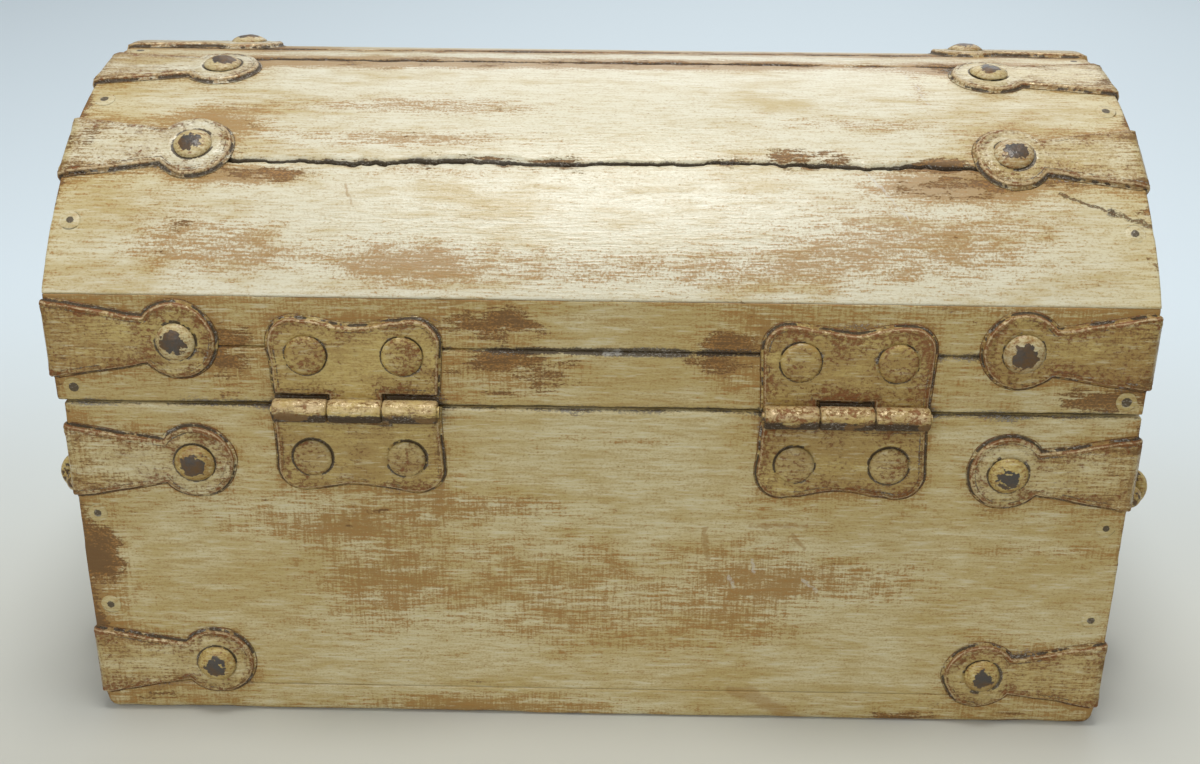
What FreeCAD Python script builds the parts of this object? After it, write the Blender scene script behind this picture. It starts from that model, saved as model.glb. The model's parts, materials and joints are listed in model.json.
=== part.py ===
import FreeCAD, Part
import math
import operator
import os

import Sketcher

# Dome top trunk. X runs along the trunk, the hinges are at +Y, the hasp is at -Y and +Z is up.
# The origin is the middle of the footprint, on the surface that the trunk stands on.
# Lengths are in millimetres and angles in degrees.

V = FreeCAD.Vector
X_AXIS = V(1, 0, 0)
Y_AXIS = V(0, 1, 0)
Z_AXIS = V(0, 0, 1)
ENDS = {"right": 1, "left": -1}
SIDES = {"back": 1, "front": -1}

DRIVING = [
    ("box_width", 254, "body, along X"),
    ("box_depth", 154, "body and lid, along Y"),
    ("body_height", 87, "floor and walls together"),
    ("floor_thick", 8.2, "bottom board"),
    ("wall_thick", 9, "walls, rails and lid ends"),
    ("edge_ease", 0.6, "eased edges of the boards"),
    ("foot_round", 2.2, "worn round under the floor"),
    ("lid_gap", 0.4, "seam between body and lid"),
    ("lid_overhang", 1.4, "lid longer than the body at its right end"),
    ("rim_height", 27, "lid underside up to the crease"),
    ("lower_rail_height", 14.4, "lower of the two rails of the rim"),
    ("dome_rise", 39.8, "crease up to the ridge"),
    ("slat_edge_thick", 6.5, "slats, along their mitred edges"),
    ("slat_gap", 0.5, "open joint between two slats"),
    ("joint_past_strap", 3.5, "lower dome strap to the joint of first and second slat, along the dome"),
    ("ridge_joint_angle", 4, "joint of second and ridge slat, from upright"),
    ("strap_thick", 1.2, "sheet of the corner straps"),
    ("strap_width", 19, "strap at its fold"),
    ("strap_neck", 11.2, "strap where it meets its disc"),
    ("strap_disc", 18.3, "disc diameter"),
    ("strap_reach", 30, "fold to disc centre, long faces"),
    ("strap_end_reach", 24, "fold to disc centre, end faces"),
    ("hole_clear", 0.1, "punched hole round a nail, radial"),
    ("upper_strap_drop", 15, "top of the body to the centre of the upper straps"),
    ("lower_strap_height", 15, "centre of the lower body straps"),
    ("rim_strap_height", 15.8, "centre of the rim straps above the lid underside"),
    ("ridge_strap_gap", 3.7, "between the discs of the two upper dome straps of an end"),
    ("nail_head", 9.5, "domed head, diameter"),
    ("nail_rise", 1.9, "height of the domed head"),
    ("nail_shank", 2.4, "shank diameter"),
    ("nail_length", 7.5, "shank under the head"),
    ("nail_point", 2, "tapered end of a shank"),
    ("plate_nail_head", 9.4, "flat head, diameter"),
    ("plate_nail_rise", 1, "height of the flat head"),
    ("tack_head", 5, "board nail, head diameter"),
    ("tack_sink", 0.8, "height of a board nail's head"),
    ("tack_proud", 0.3, "board nail's head above the wood"),
    ("tack_shank", 1.8, "board nail, shank diameter"),
    ("tack_length", 21, "board nail under its head"),
    ("tack_inset", 3.6, "rim nails above the lid underside"),
    ("hinge_inset", 69.7, "end of the body to the middle of a hinge"),
    ("hinge_width", 38.4, "along the knuckles"),
    ("hinge_reach", 22, "axis to the outer edge of a leaf"),
    ("leaf_thick", 1.2, "sheet of the leaves"),
    ("leaf_flare", 0.6, "leaf wider than its knuckles, each side"),
    ("leaf_corner", 6, "rounded corners of a leaf"),
    ("leaf_dip", 1.8, "hollow in the outer edge of a leaf"),
    ("knuckle_dia", 5.6, "rolled knuckle"),
    ("knuckle_gap", 0.3, "between two knuckles"),
    ("knuckle_clear", 0.4, "knuckle off the wood and off the other leaf"),
    ("pin_dia", 2.8, "hinge pin"),
    ("pin_clear", 0.05, "pin in its knuckle, radial"),
    ("pin_proud", 0.5, "pin past the last knuckle"),
    ("hinge_nail_spread", 22.4, "between the two nails of a leaf"),
    ("hinge_nail_reach", 13.2, "axis to the nails of a leaf"),
    ("eye_offset", 9, "leg of a handle to its eye"),
    ("eye_drop", 34, "top of the body to the handle axis"),
    ("eye_standoff", 9.4, "end board to handle axis"),
    ("eye_wire", 3.2, "bar of an eye"),
    ("eye_clear", 0.6, "handle bar in its eye, radial"),
    ("eye_depth", 7, "eye driven into the end board"),
    ("bail_bar", 4.6, "bar of a handle"),
    ("bail_drop", 32, "handle axis to the grip"),
    ("bail_width", 76, "between the two legs of a handle"),
    ("bail_tail", 3, "handle bar past its eye"),
    ("bail_turn", 4, "bend between tail and leg, at the middle of the bar"),
    ("bail_corner", 11, "bend between leg and grip, at the middle of the bar"),
    ("button_over", 0.2, "upset end of a handle bar past the eye's hole, radial"),
    ("hasp_height", 9.3, "hasp axis above the lid underside"),
    ("hasp_width", 30, "hasp leaf along its knuckles"),
    ("hasp_reach", 16, "hasp axis to the upper edge of its leaf"),
    ("hasp_corner", 4, "rounded corners of the hasp leaf"),
    ("hasp_knuckle", 8, "outer knuckles of the hasp leaf"),
    ("hasp_nail_spread", 16, "between the nails of the hasp leaf"),
    ("hasp_nail_reach", 9.6, "hasp axis to the nails of its leaf"),
    ("tongue_length", 42, "hasp axis to the tip"),
    ("tongue_width", 17, "tongue at its slot"),
    ("tongue_thick", 1.6, "sheet of the tongue"),
    ("tongue_flare", 9, "axis to where the tongue has its full width"),
    ("slot_clear", 1.5, "slot of the tongue beside the staple"),
    ("slot_end_clear", 2.5, "slot of the tongue above and below the staple"),
    ("staple_drop", 17, "top of the body to the middle of the staple"),
    ("staple_bar", 3, "bar of the staple"),
    ("staple_spread", 10, "between the legs of the staple"),
    ("staple_reach", 10, "wall to the outside of the staple"),
    ("staple_turn", 3, "bends of the staple, at the middle of the bar"),
    ("staple_depth", 7, "staple driven into the wall"),
    ("staple_clear", 0.4, "tongue at rest clear of the staple"),
    ("plate_width", 15, "staple plate"),
    ("plate_height", 34, "staple plate"),
    ("plate_corner", 3, "rounded corners of the staple plate"),
    ("plate_nail_spread", 24, "between the nails of the staple plate"),
]
# Where the small nails stand, as shares of the board that they hold.
WALL_TACK_SHARES = (0.36, 0.66)
FLOOR_TACK_SHARES = (-0.7, 0, 0.7)
# Where the lower dome straps sit, as a share of the way from the upper dome straps to the rim straps.
OUTER_STRAP_SHARE = 0.515
# An eye's shank as a share of the bar of its ring.
EYE_SHANK_SHARE = 0.9

OPERATIONS = {"+": operator.add, "-": operator.sub, "*": operator.mul, "/": operator.truediv}


class Size:
    """A number, with the expression in the sheet's words that gives it."""

    def __init__(self, value, text):
        self.value = value
        self.text = text

    def __add__(self, other):
        return joined(self, "+", other)

    def __sub__(self, other):
        return joined(self, "-", other)

    def __rsub__(self, other):
        return joined(other, "-", self)

    def __mul__(self, other):
        return joined(self, "*", other)

    def __rmul__(self, other):
        return joined(other, "*", self)

    def __truediv__(self, other):
        return joined(self, "/", other)

    def __neg__(self):
        return joined(-1, "*", self)


def as_size(item):
    return item if isinstance(item, Size) else Size(float(item), str(item))


def joined(left, mark, right):
    left = as_size(left)
    right = as_size(right)
    return Size(OPERATIONS[mark](left.value, right.value), f"({left.text} {mark} {right.text})")


def root(size):
    return Size(math.sqrt(size.value), f"sqrt({size.text})")


def sine(angle):
    return Size(math.sin(math.radians(angle.value)), f"sin({angle.text} * 1 deg)")


def cosine(angle):
    return Size(math.cos(math.radians(angle.value)), f"cos({angle.text} * 1 deg)")


def arc_sine(ratio):
    return Size(math.degrees(math.asin(ratio.value)), f"(asin({ratio.text}) / 1 deg)")


def arc_tangent(ratio):
    return Size(math.degrees(math.atan(ratio.value)), f"(atan({ratio.text}) / 1 deg)")


def arc_angle(length, radius):
    """The angle that an arc of this length takes up."""
    return 180 * length / (math.pi * radius)


doc = FreeCAD.newDocument("DomeTopTrunk")
sheet = doc.addObject("Spreadsheet::Sheet", "Sizes")
for row, (alias, number, note) in enumerate(DRIVING, start=1):
    sheet.set(f"A{row}", note)
    sheet.set(f"B{row}", str(number))
    sheet.setAlias(f"B{row}", alias)
doc.recompute()


def size(alias):
    return Size(float(sheet.get(alias)), f"Sizes.{alias}")


ZERO = as_size(0)
parts = {}

# Sizes that several pieces share
half_width = size("box_width") / 2
half_depth = size("box_depth") / 2
wall = size("wall_thick")
floor_top = size("floor_thick")
body_top = size("body_height")
lid_bottom = body_top + size("lid_gap")
rail_joint = lid_bottom + size("lower_rail_height")
crease = lid_bottom + size("rim_height")
lid_low_end = -half_width
lid_high_end = half_width + size("lid_overhang")
lid_ends = {1: lid_high_end, -1: lid_low_end}
inner_depth = half_depth - wall
dome_rise = size("dome_rise")
dome_radius = (half_depth * half_depth + dome_rise * dome_rise) / (2 * dome_rise)
dome_centre = crease + dome_rise - dome_radius
crease_angle = arc_sine(half_depth / dome_radius)
slat_seat = dome_radius - size("slat_edge_thick")
ridge_joint = size("ridge_joint_angle")
sheet_strap = size("strap_thick")
upper_strap = body_top - size("upper_strap_drop")
lower_strap = size("lower_strap_height")
rim_strap = lid_bottom + size("rim_strap_height")
ridge_offset = (size("strap_disc") + size("ridge_strap_gap")) / 2
ridge_strap = arc_sine(ridge_offset / (dome_radius - size("strap_end_reach")))
rim_strap_lean = arc_tangent((half_depth - size("strap_end_reach")) / (rim_strap - dome_centre))
outer_strap = ridge_strap + OUTER_STRAP_SHARE * (rim_strap_lean - ridge_strap)
outer_joint = outer_strap + arc_angle(size("joint_past_strap"), dome_radius)
knuckle_radius = size("knuckle_dia") / 2
bore_radius = size("pin_dia") / 2 + size("pin_clear")
axis_off = knuckle_radius + size("knuckle_clear")
hinge_axis_y = half_depth + axis_off
hinge_axis_z = body_top + size("lid_gap") / 2
hasp_axis_y = -(half_depth + axis_off)
hasp_axis_z = lid_bottom + size("hasp_height")
hinge_x = half_width - size("hinge_inset")
staple_z = body_top - size("staple_drop")
eye_hole = size("bail_bar") + 2 * size("eye_clear")
eye_y = size("bail_width") / 2 + size("eye_offset")
eye_z = body_top - size("eye_drop")
shank_hole = size("nail_shank") / 2 + size("hole_clear")


# Ways of making pieces

def bind(item, prop, length):
    item.setExpression(prop, as_size(length).text)


def place(item, x=ZERO, y=ZERO, z=ZERO, axis=None, angle=ZERO):
    """Put a piece in its place, turned about one axis through its own origin."""
    if axis is not None:
        item.Placement = FreeCAD.Placement(V(), FreeCAD.Rotation(axis, 1))
        bind(item, "Placement.Rotation.Angle", angle)
    for letter, length in zip("xyz", (x, y, z)):
        bind(item, f"Placement.Base.{letter}", length)


def keep(label, item):
    """Name a finished sub-part."""
    item.Label = label
    parts[label] = item
    return item


def new_body(name):
    return doc.addObject("PartDesign::Body", name + "_body")


def sketch_on(body, role, offset=ZERO):
    sketch = body.newObject("Sketcher::SketchObject", body.Name + "_sketch")
    plane = [item for item in body.Origin.OriginFeatures if item.Role == role][0]
    sketch.AttachmentSupport = [(plane, "")]
    sketch.MapMode = "FlatFace"
    bind(sketch, "AttachmentOffset.Base.z", offset)
    return sketch


def fix(sketch, kind, length, *points):
    index = sketch.addConstraint(Sketcher.Constraint(kind, *points, length.value))
    bind(sketch, f"Constraints[{index}]", length)


def draw_outline(sketch, corners, arcs=None):
    """Draw a closed outline through the corners. arcs gives, for the edge after a corner,
    the radius and a point that the arc passes near."""
    arcs = arcs or {}
    spots = [V(x.value, y.value, 0) for x, y in corners]
    edges = []
    for index, start in enumerate(spots):
        finish = spots[(index + 1) % len(spots)]
        flipped = False
        if index in arcs:
            through = V(arcs[index][1][0].value, arcs[index][1][1].value, 0)
            flipped = (through - start).cross(finish - through).z < 0
            ends = (finish, start) if flipped else (start, finish)
            curve = Part.ArcOfCircle(ends[0], through, ends[1])
        else:
            curve = Part.LineSegment(start, finish)
        edges.append((sketch.addGeometry(curve, False), 2 if flipped else 1, 1 if flipped else 2))
    for index, (edge, first, last) in enumerate(edges):
        following = edges[(index + 1) % len(edges)]
        sketch.addConstraint(Sketcher.Constraint("Coincident", edge, last, following[0], following[1]))
    for (edge, first, last), (x, y) in zip(edges, corners):
        fix(sketch, "DistanceX", x, -1, 1, edge, first)
        fix(sketch, "DistanceY", y, -1, 1, edge, first)
    for index, (radius, through) in arcs.items():
        fix(sketch, "Radius", radius, edges[index][0])


def draw_circle(sketch, x, y, radius):
    edge = sketch.addGeometry(Part.Circle(V(x.value, y.value, 0), Z_AXIS, radius.value), False)
    fix(sketch, "DistanceX", x, -1, 1, edge, 3)
    fix(sketch, "DistanceY", y, -1, 1, edge, 3)
    fix(sketch, "Radius", radius, edge)


def pad(body, sketch, length, backwards=False):
    feature = body.newObject("PartDesign::Pad", body.Name + "_pad")
    feature.Profile = sketch
    feature.Reversed = backwards
    bind(feature, "Length", length)
    return feature


def ease_edges(body, plank, radius):
    """Round every edge of a board a little, as planing and wear leave it."""
    feature = body.newObject("PartDesign::Fillet", body.Name + "_ease")
    feature.Base = (plank, [""])
    feature.UseAllEdges = True
    bind(feature, "Radius", radius)


def board(label, low, high):
    """A straight board between its lowest and its highest corner."""
    body = new_body(label)
    sketch = sketch_on(body, "XY_Plane")
    draw_outline(sketch, [(low[0], low[1]), (high[0], low[1]), (high[0], high[1]), (low[0], high[1])])
    plank = pad(body, sketch, high[2] - low[2])
    ease_edges(body, plank, size("edge_ease"))
    place(body, z=low[2])
    return keep(label, body)


def lengthwise(label, corners, arcs, low_end, high_end):
    """A piece of one section all along X. The caller places it."""
    body = new_body(label)
    sketch = sketch_on(body, "YZ_Plane", low_end)
    draw_outline(sketch, corners, arcs)
    plank = pad(body, sketch, high_end - low_end)
    ease_edges(body, plank, size("edge_ease"))
    return keep(label, body)


def bent_bar(corners, turn_radii, radius):
    """A round bar along straight runs, with a bend of the given radius at each inner corner."""
    edges = []
    start = corners[0]
    for before, corner, after, turn in zip(corners, corners[1:], corners[2:], turn_radii):
        inward = (before - corner).normalize()
        onward = (after - corner).normalize()
        half_turn = inward.getAngle(onward) / 2
        run = turn / math.tan(half_turn)
        middle = (inward + onward).normalize()
        arc_middle = corner + middle * (turn / math.sin(half_turn) - turn)
        edges.append(Part.LineSegment(start, corner + inward * run).toShape())
        edges.append(Part.Arc(corner + inward * run, arc_middle, corner + onward * run).toShape())
        start = corner + onward * run
    edges.append(Part.LineSegment(start, corners[-1]).toShape())
    path = Part.Wire(edges)
    section = Part.Wire(Part.makeCircle(radius, corners[0], corners[1] - corners[0]))
    return path.makePipeShell([section], True, False)


# Wooden body

def make_body_boards():
    floor = new_body("bottom_board")
    sketch = sketch_on(floor, "XY_Plane")
    draw_outline(sketch, [(-half_width, -half_depth), (half_width, -half_depth),
                          (half_width, half_depth), (-half_width, half_depth)])
    plank = pad(floor, sketch, floor_top)
    doc.recompute()
    middle = plank.Shape.BoundBox.Center.z
    low_edges = [f"Edge{index}" for index, edge in enumerate(plank.Shape.Edges, start=1)
                 if edge.BoundBox.ZMax < middle]
    worn = floor.newObject("PartDesign::Fillet", "bottom_board_wear")
    worn.Base = (plank, low_edges)
    bind(worn, "Radius", size("foot_round"))
    keep("bottom_board", floor)
    for name, side in SIDES.items():
        faces = sorted((side * half_depth, side * inner_depth), key=lambda face: face.value)
        board(f"{name}_board", (-half_width, faces[0], floor_top), (half_width, faces[1], body_top))
    for name, end in ENDS.items():
        faces = sorted((end * half_width, end * (half_width - wall)), key=lambda face: face.value)
        board(f"{name}_end_board", (faces[0], -inner_depth, floor_top), (faces[1], inner_depth, body_top))


# Wooden lid

def slat_corner(angle):
    """The meeting point of two slats' inner faces at a joint, as Y and Z."""
    return slat_seat * sine(angle), dome_centre + slat_seat * cosine(angle)


def make_slat(label, low_angle, high_angle):
    """A slat with a flat inner face and a planed round outer face, drawn upright and then leaned."""
    half = (high_angle - low_angle) / 2
    open_half = half - arc_angle(size("slat_gap") / 2, dome_radius)
    outer_y = dome_radius * sine(open_half)
    outer_z = dome_radius * cosine(open_half)
    inner_z = slat_seat * cosine(half)
    inner_y = inner_z * sine(open_half) / cosine(open_half)
    corners = [(-inner_y, inner_z), (inner_y, inner_z), (outer_y, outer_z), (-outer_y, outer_z)]
    crown = {2: (dome_radius, (ZERO, dome_radius))}
    slat = lengthwise(label, corners, crown, lid_low_end, lid_high_end)
    place(slat, z=dome_centre, axis=X_AXIS, angle=-(low_angle + high_angle) / 2)


def make_lid_boards():
    for name, side in SIDES.items():
        faces = sorted((side * half_depth, side * inner_depth), key=lambda face: face.value)
        board(f"lid_{name}_lower_rail", (lid_low_end, faces[0], lid_bottom),
              (lid_high_end, faces[1], rail_joint))
        bevel = wall * cosine(crease_angle) / sine(crease_angle)
        section = [(side * inner_depth, rail_joint), (side * half_depth, rail_joint),
                   (side * half_depth, crease), (side * inner_depth, crease - bevel)]
        lengthwise(f"lid_{name}_upper_rail", section, None, lid_low_end, lid_high_end)
    outer = slat_corner(outer_joint)
    ridge = slat_corner(ridge_joint)
    foot = slat_corner(crease_angle)
    shoulder = outer[1] + (foot[1] - outer[1]) * (inner_depth - outer[0]) / (foot[0] - outer[0])
    half_section = [(inner_depth, lid_bottom), (inner_depth, shoulder), outer, ridge]
    section = half_section + [(-y, z) for y, z in reversed(half_section)]
    lengthwise("lid_right_end", section, None, lid_high_end - wall, lid_high_end)
    lengthwise("lid_left_end", section, None, lid_low_end, lid_low_end + wall)
    make_slat("lid_slat_back_outer", outer_joint, crease_angle)
    make_slat("lid_slat_back_inner", ridge_joint, outer_joint)
    make_slat("lid_slat_ridge", -ridge_joint, ridge_joint)
    make_slat("lid_slat_front_inner", -outer_joint, -ridge_joint)
    make_slat("lid_slat_front_outer", -crease_angle, -outer_joint)


# Iron corner straps

def draw_keyhole(sketch, reach, past_fold, to_plane):
    """A leg that narrows from the fold to a neck and ends in a disc with a nail hole.
    It is drawn in distance from the fold and across the strap, and to_plane turns those into the sketch's."""
    half_fold = size("strap_width") / 2
    half_neck = size("strap_neck") / 2
    disc = size("strap_disc") / 2
    neck = reach - root(disc * disc - half_neck * half_neck)
    half_leg = [(ZERO, half_fold), (neck, half_neck)]
    if past_fold is not None:
        half_leg.insert(0, (-past_fold, half_fold))
    corners = half_leg + [(along, -across) for along, across in reversed(half_leg)]
    rim = {len(half_leg) - 1: (disc, to_plane(reach + disc, ZERO))}
    draw_outline(sketch, [to_plane(*corner) for corner in corners], rim)
    draw_circle(sketch, *to_plane(reach, ZERO), shank_hole)


def make_flat_strap(label, end, side, corner_x, height):
    """A strap folded round an upright corner: one leg on the long face, one on the end face."""
    body = new_body(label)
    face = sketch_on(body, "XZ_Plane")
    draw_keyhole(face, size("strap_reach"), None, lambda along, across: (-end * along, across))
    pad(body, face, sheet_strap, backwards=side > 0)
    cheek = sketch_on(body, "YZ_Plane")
    draw_keyhole(cheek, size("strap_end_reach"), sheet_strap, lambda along, across: (-side * along, across))
    pad(body, cheek, sheet_strap, backwards=end < 0)
    place(body, x=corner_x, y=side * half_depth, z=height)
    keep(label, body)


def lengthwise_cylinder(name, radius, low_end, high_end):
    rod = doc.addObject("Part::Cylinder", name)
    bind(rod, "Radius", radius)
    bind(rod, "Height", high_end - low_end)
    place(rod, x=low_end, axis=Y_AXIS, angle=90)
    return rod


def make_dome_strap(label, end, angle):
    """A strap folded over the end of the dome: its upper leg is bent to the dome's round."""
    outer_radius = dome_radius + sheet_strap
    leg_length = size("strap_reach") + size("strap_disc")
    crown = new_body(label + "_crown")
    sketch = sketch_on(crown, "XY_Plane", dome_radius - size("strap_width"))
    draw_keyhole(sketch, size("strap_reach"), None, lambda along, across: (-end * along, across))
    pad(crown, sketch, 2 * size("strap_width"))
    cheek = new_body(label + "_cheek")
    sketch = sketch_on(cheek, "YZ_Plane")
    draw_keyhole(sketch, size("strap_end_reach"), 2 * sheet_strap,
                 lambda along, across: (across, dome_radius - along))
    pad(cheek, sketch, sheet_strap, backwards=end < 0)
    blank = doc.addObject("Part::Fuse", label + "_blank")
    blank.Base = crown
    blank.Tool = cheek
    shaped = doc.addObject("Part::Common", label + "_shaped")
    shaped.Base = blank
    shaped.Tool = lengthwise_cylinder(label + "_outer", outer_radius, -leg_length, leg_length)
    hollow_ends = sorted((ZERO, -end * leg_length), key=lambda x: x.value)
    strap = doc.addObject("Part::Cut", label + "_cut")
    strap.Base = shaped
    strap.Tool = lengthwise_cylinder(label + "_inner", dome_radius, *hollow_ends)
    place(strap, x=lid_ends[end], z=dome_centre, axis=X_AXIS, angle=-angle)
    keep(label, strap)


def make_straps():
    for end_name, end in ENDS.items():
        for side_name, side in SIDES.items():
            spot = f"{side_name}_{end_name}"
            for level, height in (("upper", upper_strap), ("lower", lower_strap)):
                make_flat_strap(f"body_strap_{level}_{spot}", end, side, end * half_width, height)
            make_flat_strap(f"lid_strap_rim_{spot}", end, side, lid_ends[end], rim_strap)
            make_dome_strap(f"lid_strap_outer_{spot}", end, side * outer_strap)
            make_dome_strap(f"lid_strap_ridge_{spot}", end, side * ridge_strap)


# Hinges

def make_leaf(label, up, side, shape, own_middle):
    """A hinge leaf: a nailed plate and its rolled knuckles, drawn from the hinge axis outwards.
    own_middle says whether it has the middle knuckle or the two outer ones."""
    half = shape["width"] / 2
    middle_half = half - shape["knuckle"]
    half_gap = size("knuckle_gap") / 2
    corner = shape["corner"]
    reach = shape["reach"]
    wide = half + shape["flare"]
    back_off = knuckle_radius + size("knuckle_clear")
    body = new_body(label)
    plate = sketch_on(body, "XZ_Plane", side * axis_off)
    if own_middle:
        step = middle_half - half_gap
        heights = (ZERO, back_off)
    else:
        step = middle_half + half_gap
        heights = (back_off, ZERO)
    right = [(step, heights[0]), (step, heights[1]), (half, heights[1]), (wide, reach - corner),
             (wide - corner, reach)]
    corners = right + [(-x, z) for x, z in reversed(right)]
    slant = corner * cosine(as_size(45))
    arcs = {3: (corner, (wide - corner + slant, reach - corner + slant)),
            5: (corner, (-(wide - corner + slant), reach - corner + slant))}
    if "dip" in shape:
        chord = wide - corner
        dip = shape["dip"]
        arcs[4] = ((chord * chord + dip * dip) / (2 * dip), (ZERO, reach - dip))
    draw_outline(plate, [(x, up * z) for x, z in corners],
                 {edge: (radius, (x, up * z)) for edge, (radius, (x, z)) in arcs.items()})
    for sign in (-1, 1):
        draw_circle(plate, sign * shape["nail_spread"] / 2, up * shape["nail_reach"], shank_hole)
    pad(body, plate, size("leaf_thick"), backwards=side > 0)
    if own_middle:
        spans = [(-step, step)]
    else:
        spans = [(-half, -step), (step, half)]
    for low, high in spans:
        roll_knuckle(body, low, high)
    return keep(label, body)


def roll_knuckle(body, low, high):
    ring = sketch_on(body, "YZ_Plane", low)
    draw_circle(ring, ZERO, ZERO, knuckle_radius)
    draw_circle(ring, ZERO, ZERO, bore_radius)
    pad(body, ring, high - low)


def make_pin(label, width, x, y, z):
    reach = width / 2 + size("pin_proud")
    pin = lengthwise_cylinder(label + "_rod", size("pin_dia") / 2, x - reach, x + reach)
    bind(pin, "Placement.Base.y", y)
    bind(pin, "Placement.Base.z", z)
    keep(label, pin)


hinge_shape = {
    "width": size("hinge_width"), "reach": size("hinge_reach"), "flare": size("leaf_flare"),
    "corner": size("leaf_corner"), "dip": size("leaf_dip"), "knuckle": size("hinge_width") / 3,
    "nail_spread": size("hinge_nail_spread"), "nail_reach": size("hinge_nail_reach"),
}
hasp_shape = {
    "width": size("hasp_width"), "reach": size("hasp_reach"), "flare": ZERO,
    "corner": size("hasp_corner"), "knuckle": size("hasp_knuckle"),
    "nail_spread": size("hasp_nail_spread"), "nail_reach": size("hasp_nail_reach"),
}


def make_hinges():
    """The right hinge has its middle knuckle on the lid's leaf, the left one on the body's."""
    for name, end in ENDS.items():
        x = end * hinge_x
        upper = make_leaf(f"hinge_upper_leaf_{name}", 1, 1, hinge_shape, end > 0)
        lower = make_leaf(f"hinge_lower_leaf_{name}", -1, 1, hinge_shape, end < 0)
        for leaf in (upper, lower):
            place(leaf, x=x, y=hinge_axis_y, z=hinge_axis_z)
        make_pin(f"hinge_pin_{name}", size("hinge_width"), x, hinge_axis_y, hinge_axis_z)


# Hasp and staple on the front

def tongue_rest_angle():
    """How far the tongue stands out from hanging, so that it clears the staple's nose."""
    out = size("staple_reach") - axis_off
    staple_top = staple_z + (size("staple_spread") + size("staple_bar")) / 2
    down = hasp_axis_z - staple_top
    room = size("tongue_thick") / 2 + size("staple_clear")
    return arc_tangent(out / down) + arc_sine(room / root(out * out + down * down))


def make_hasp():
    leaf = make_leaf("hasp_leaf", 1, -1, hasp_shape, False)
    place(leaf, y=hasp_axis_y, z=hasp_axis_z)
    make_pin("hasp_pin", size("hasp_width"), ZERO, hasp_axis_y, hasp_axis_z)
    body = new_body("hasp_tongue")
    half_knuckle = size("hasp_width") / 2 - size("hasp_knuckle") - size("knuckle_gap") / 2
    half = size("tongue_width") / 2
    top = -(bore_radius + knuckle_radius) / 2
    shoulder = -size("tongue_flare")
    tip = -size("tongue_length")
    slant = half * cosine(as_size(45))
    plate = sketch_on(body, "XZ_Plane", size("tongue_thick") / 2)
    outline = [(half_knuckle, top), (-half_knuckle, top), (-half, shoulder), (-half, tip + half),
               (ZERO, tip), (half, tip + half), (half, shoulder)]
    tip_arcs = {3: (half, (-slant, tip + half - slant)), 4: (half, (slant, tip + half - slant))}
    draw_outline(plate, outline, tip_arcs)
    slot = size("staple_bar") / 2 + size("slot_clear")
    slot_middle = staple_z - hasp_axis_z
    slot_reach = (size("staple_spread") + size("staple_bar")) / 2 + size("slot_end_clear")
    slot_high = slot_middle + slot_reach
    slot_low = slot_middle - slot_reach
    bend = slot * cosine(as_size(45))
    ring = [(slot, slot_low + slot), (slot, slot_high - slot), (ZERO, slot_high),
            (-slot, slot_high - slot), (-slot, slot_low + slot), (ZERO, slot_low)]
    high_bend = slot_high - slot + bend
    low_bend = slot_low + slot - bend
    draw_outline(plate, ring, {1: (slot, (bend, high_bend)), 2: (slot, (-bend, high_bend)),
                               4: (slot, (-bend, low_bend)), 5: (slot, (bend, low_bend))})
    pad(body, plate, size("tongue_thick"), backwards=True)
    roll_knuckle(body, -half_knuckle, half_knuckle)
    place(body, y=hasp_axis_y, z=hasp_axis_z, axis=X_AXIS, angle=-tongue_rest_angle())
    keep("hasp_tongue", body)


def make_staple():
    body = new_body("staple_plate")
    sketch = sketch_on(body, "XZ_Plane")
    half = size("plate_width") / 2
    tall = size("plate_height") / 2
    corner = size("plate_corner")
    slant = corner * cosine(as_size(45))
    outline = []
    arcs = {}
    for x_sign, z_sign in ((1, 1), (-1, 1), (-1, -1), (1, -1)):
        sides = [(x_sign * half, z_sign * (tall - corner)), (x_sign * (half - corner), z_sign * tall)]
        if x_sign != z_sign:
            sides.reverse()
        middle = (x_sign * (half - corner + slant), z_sign * (tall - corner + slant))
        arcs[len(outline)] = (corner, middle)
        outline += sides
    draw_outline(sketch, outline, arcs)
    leg_hole = size("staple_bar") / 2 + size("hole_clear")
    for sign in (-1, 1):
        draw_circle(sketch, ZERO, sign * size("plate_nail_spread") / 2, shank_hole)
        draw_circle(sketch, ZERO, sign * size("staple_spread") / 2, leg_hole)
    pad(body, sketch, size("leaf_thick"))
    place(body, y=-half_depth, z=staple_z)
    keep("staple_plate", body)

    bar = size("staple_bar").value / 2
    nose = -(half_depth + size("staple_reach")).value + bar
    root_y = -(half_depth - size("staple_depth")).value
    legs = [(staple_z + sign * size("staple_spread") / 2).value for sign in (1, -1)]
    turn = size("staple_turn").value
    staple = doc.addObject("Part::Feature", "hasp_staple_bar")
    staple.Shape = bent_bar([V(0, root_y, legs[0]), V(0, nose, legs[0]), V(0, nose, legs[1]),
                             V(0, root_y, legs[1])], [turn, turn], bar)
    keep("hasp_staple", staple)


# Drop handles on the ends

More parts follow.
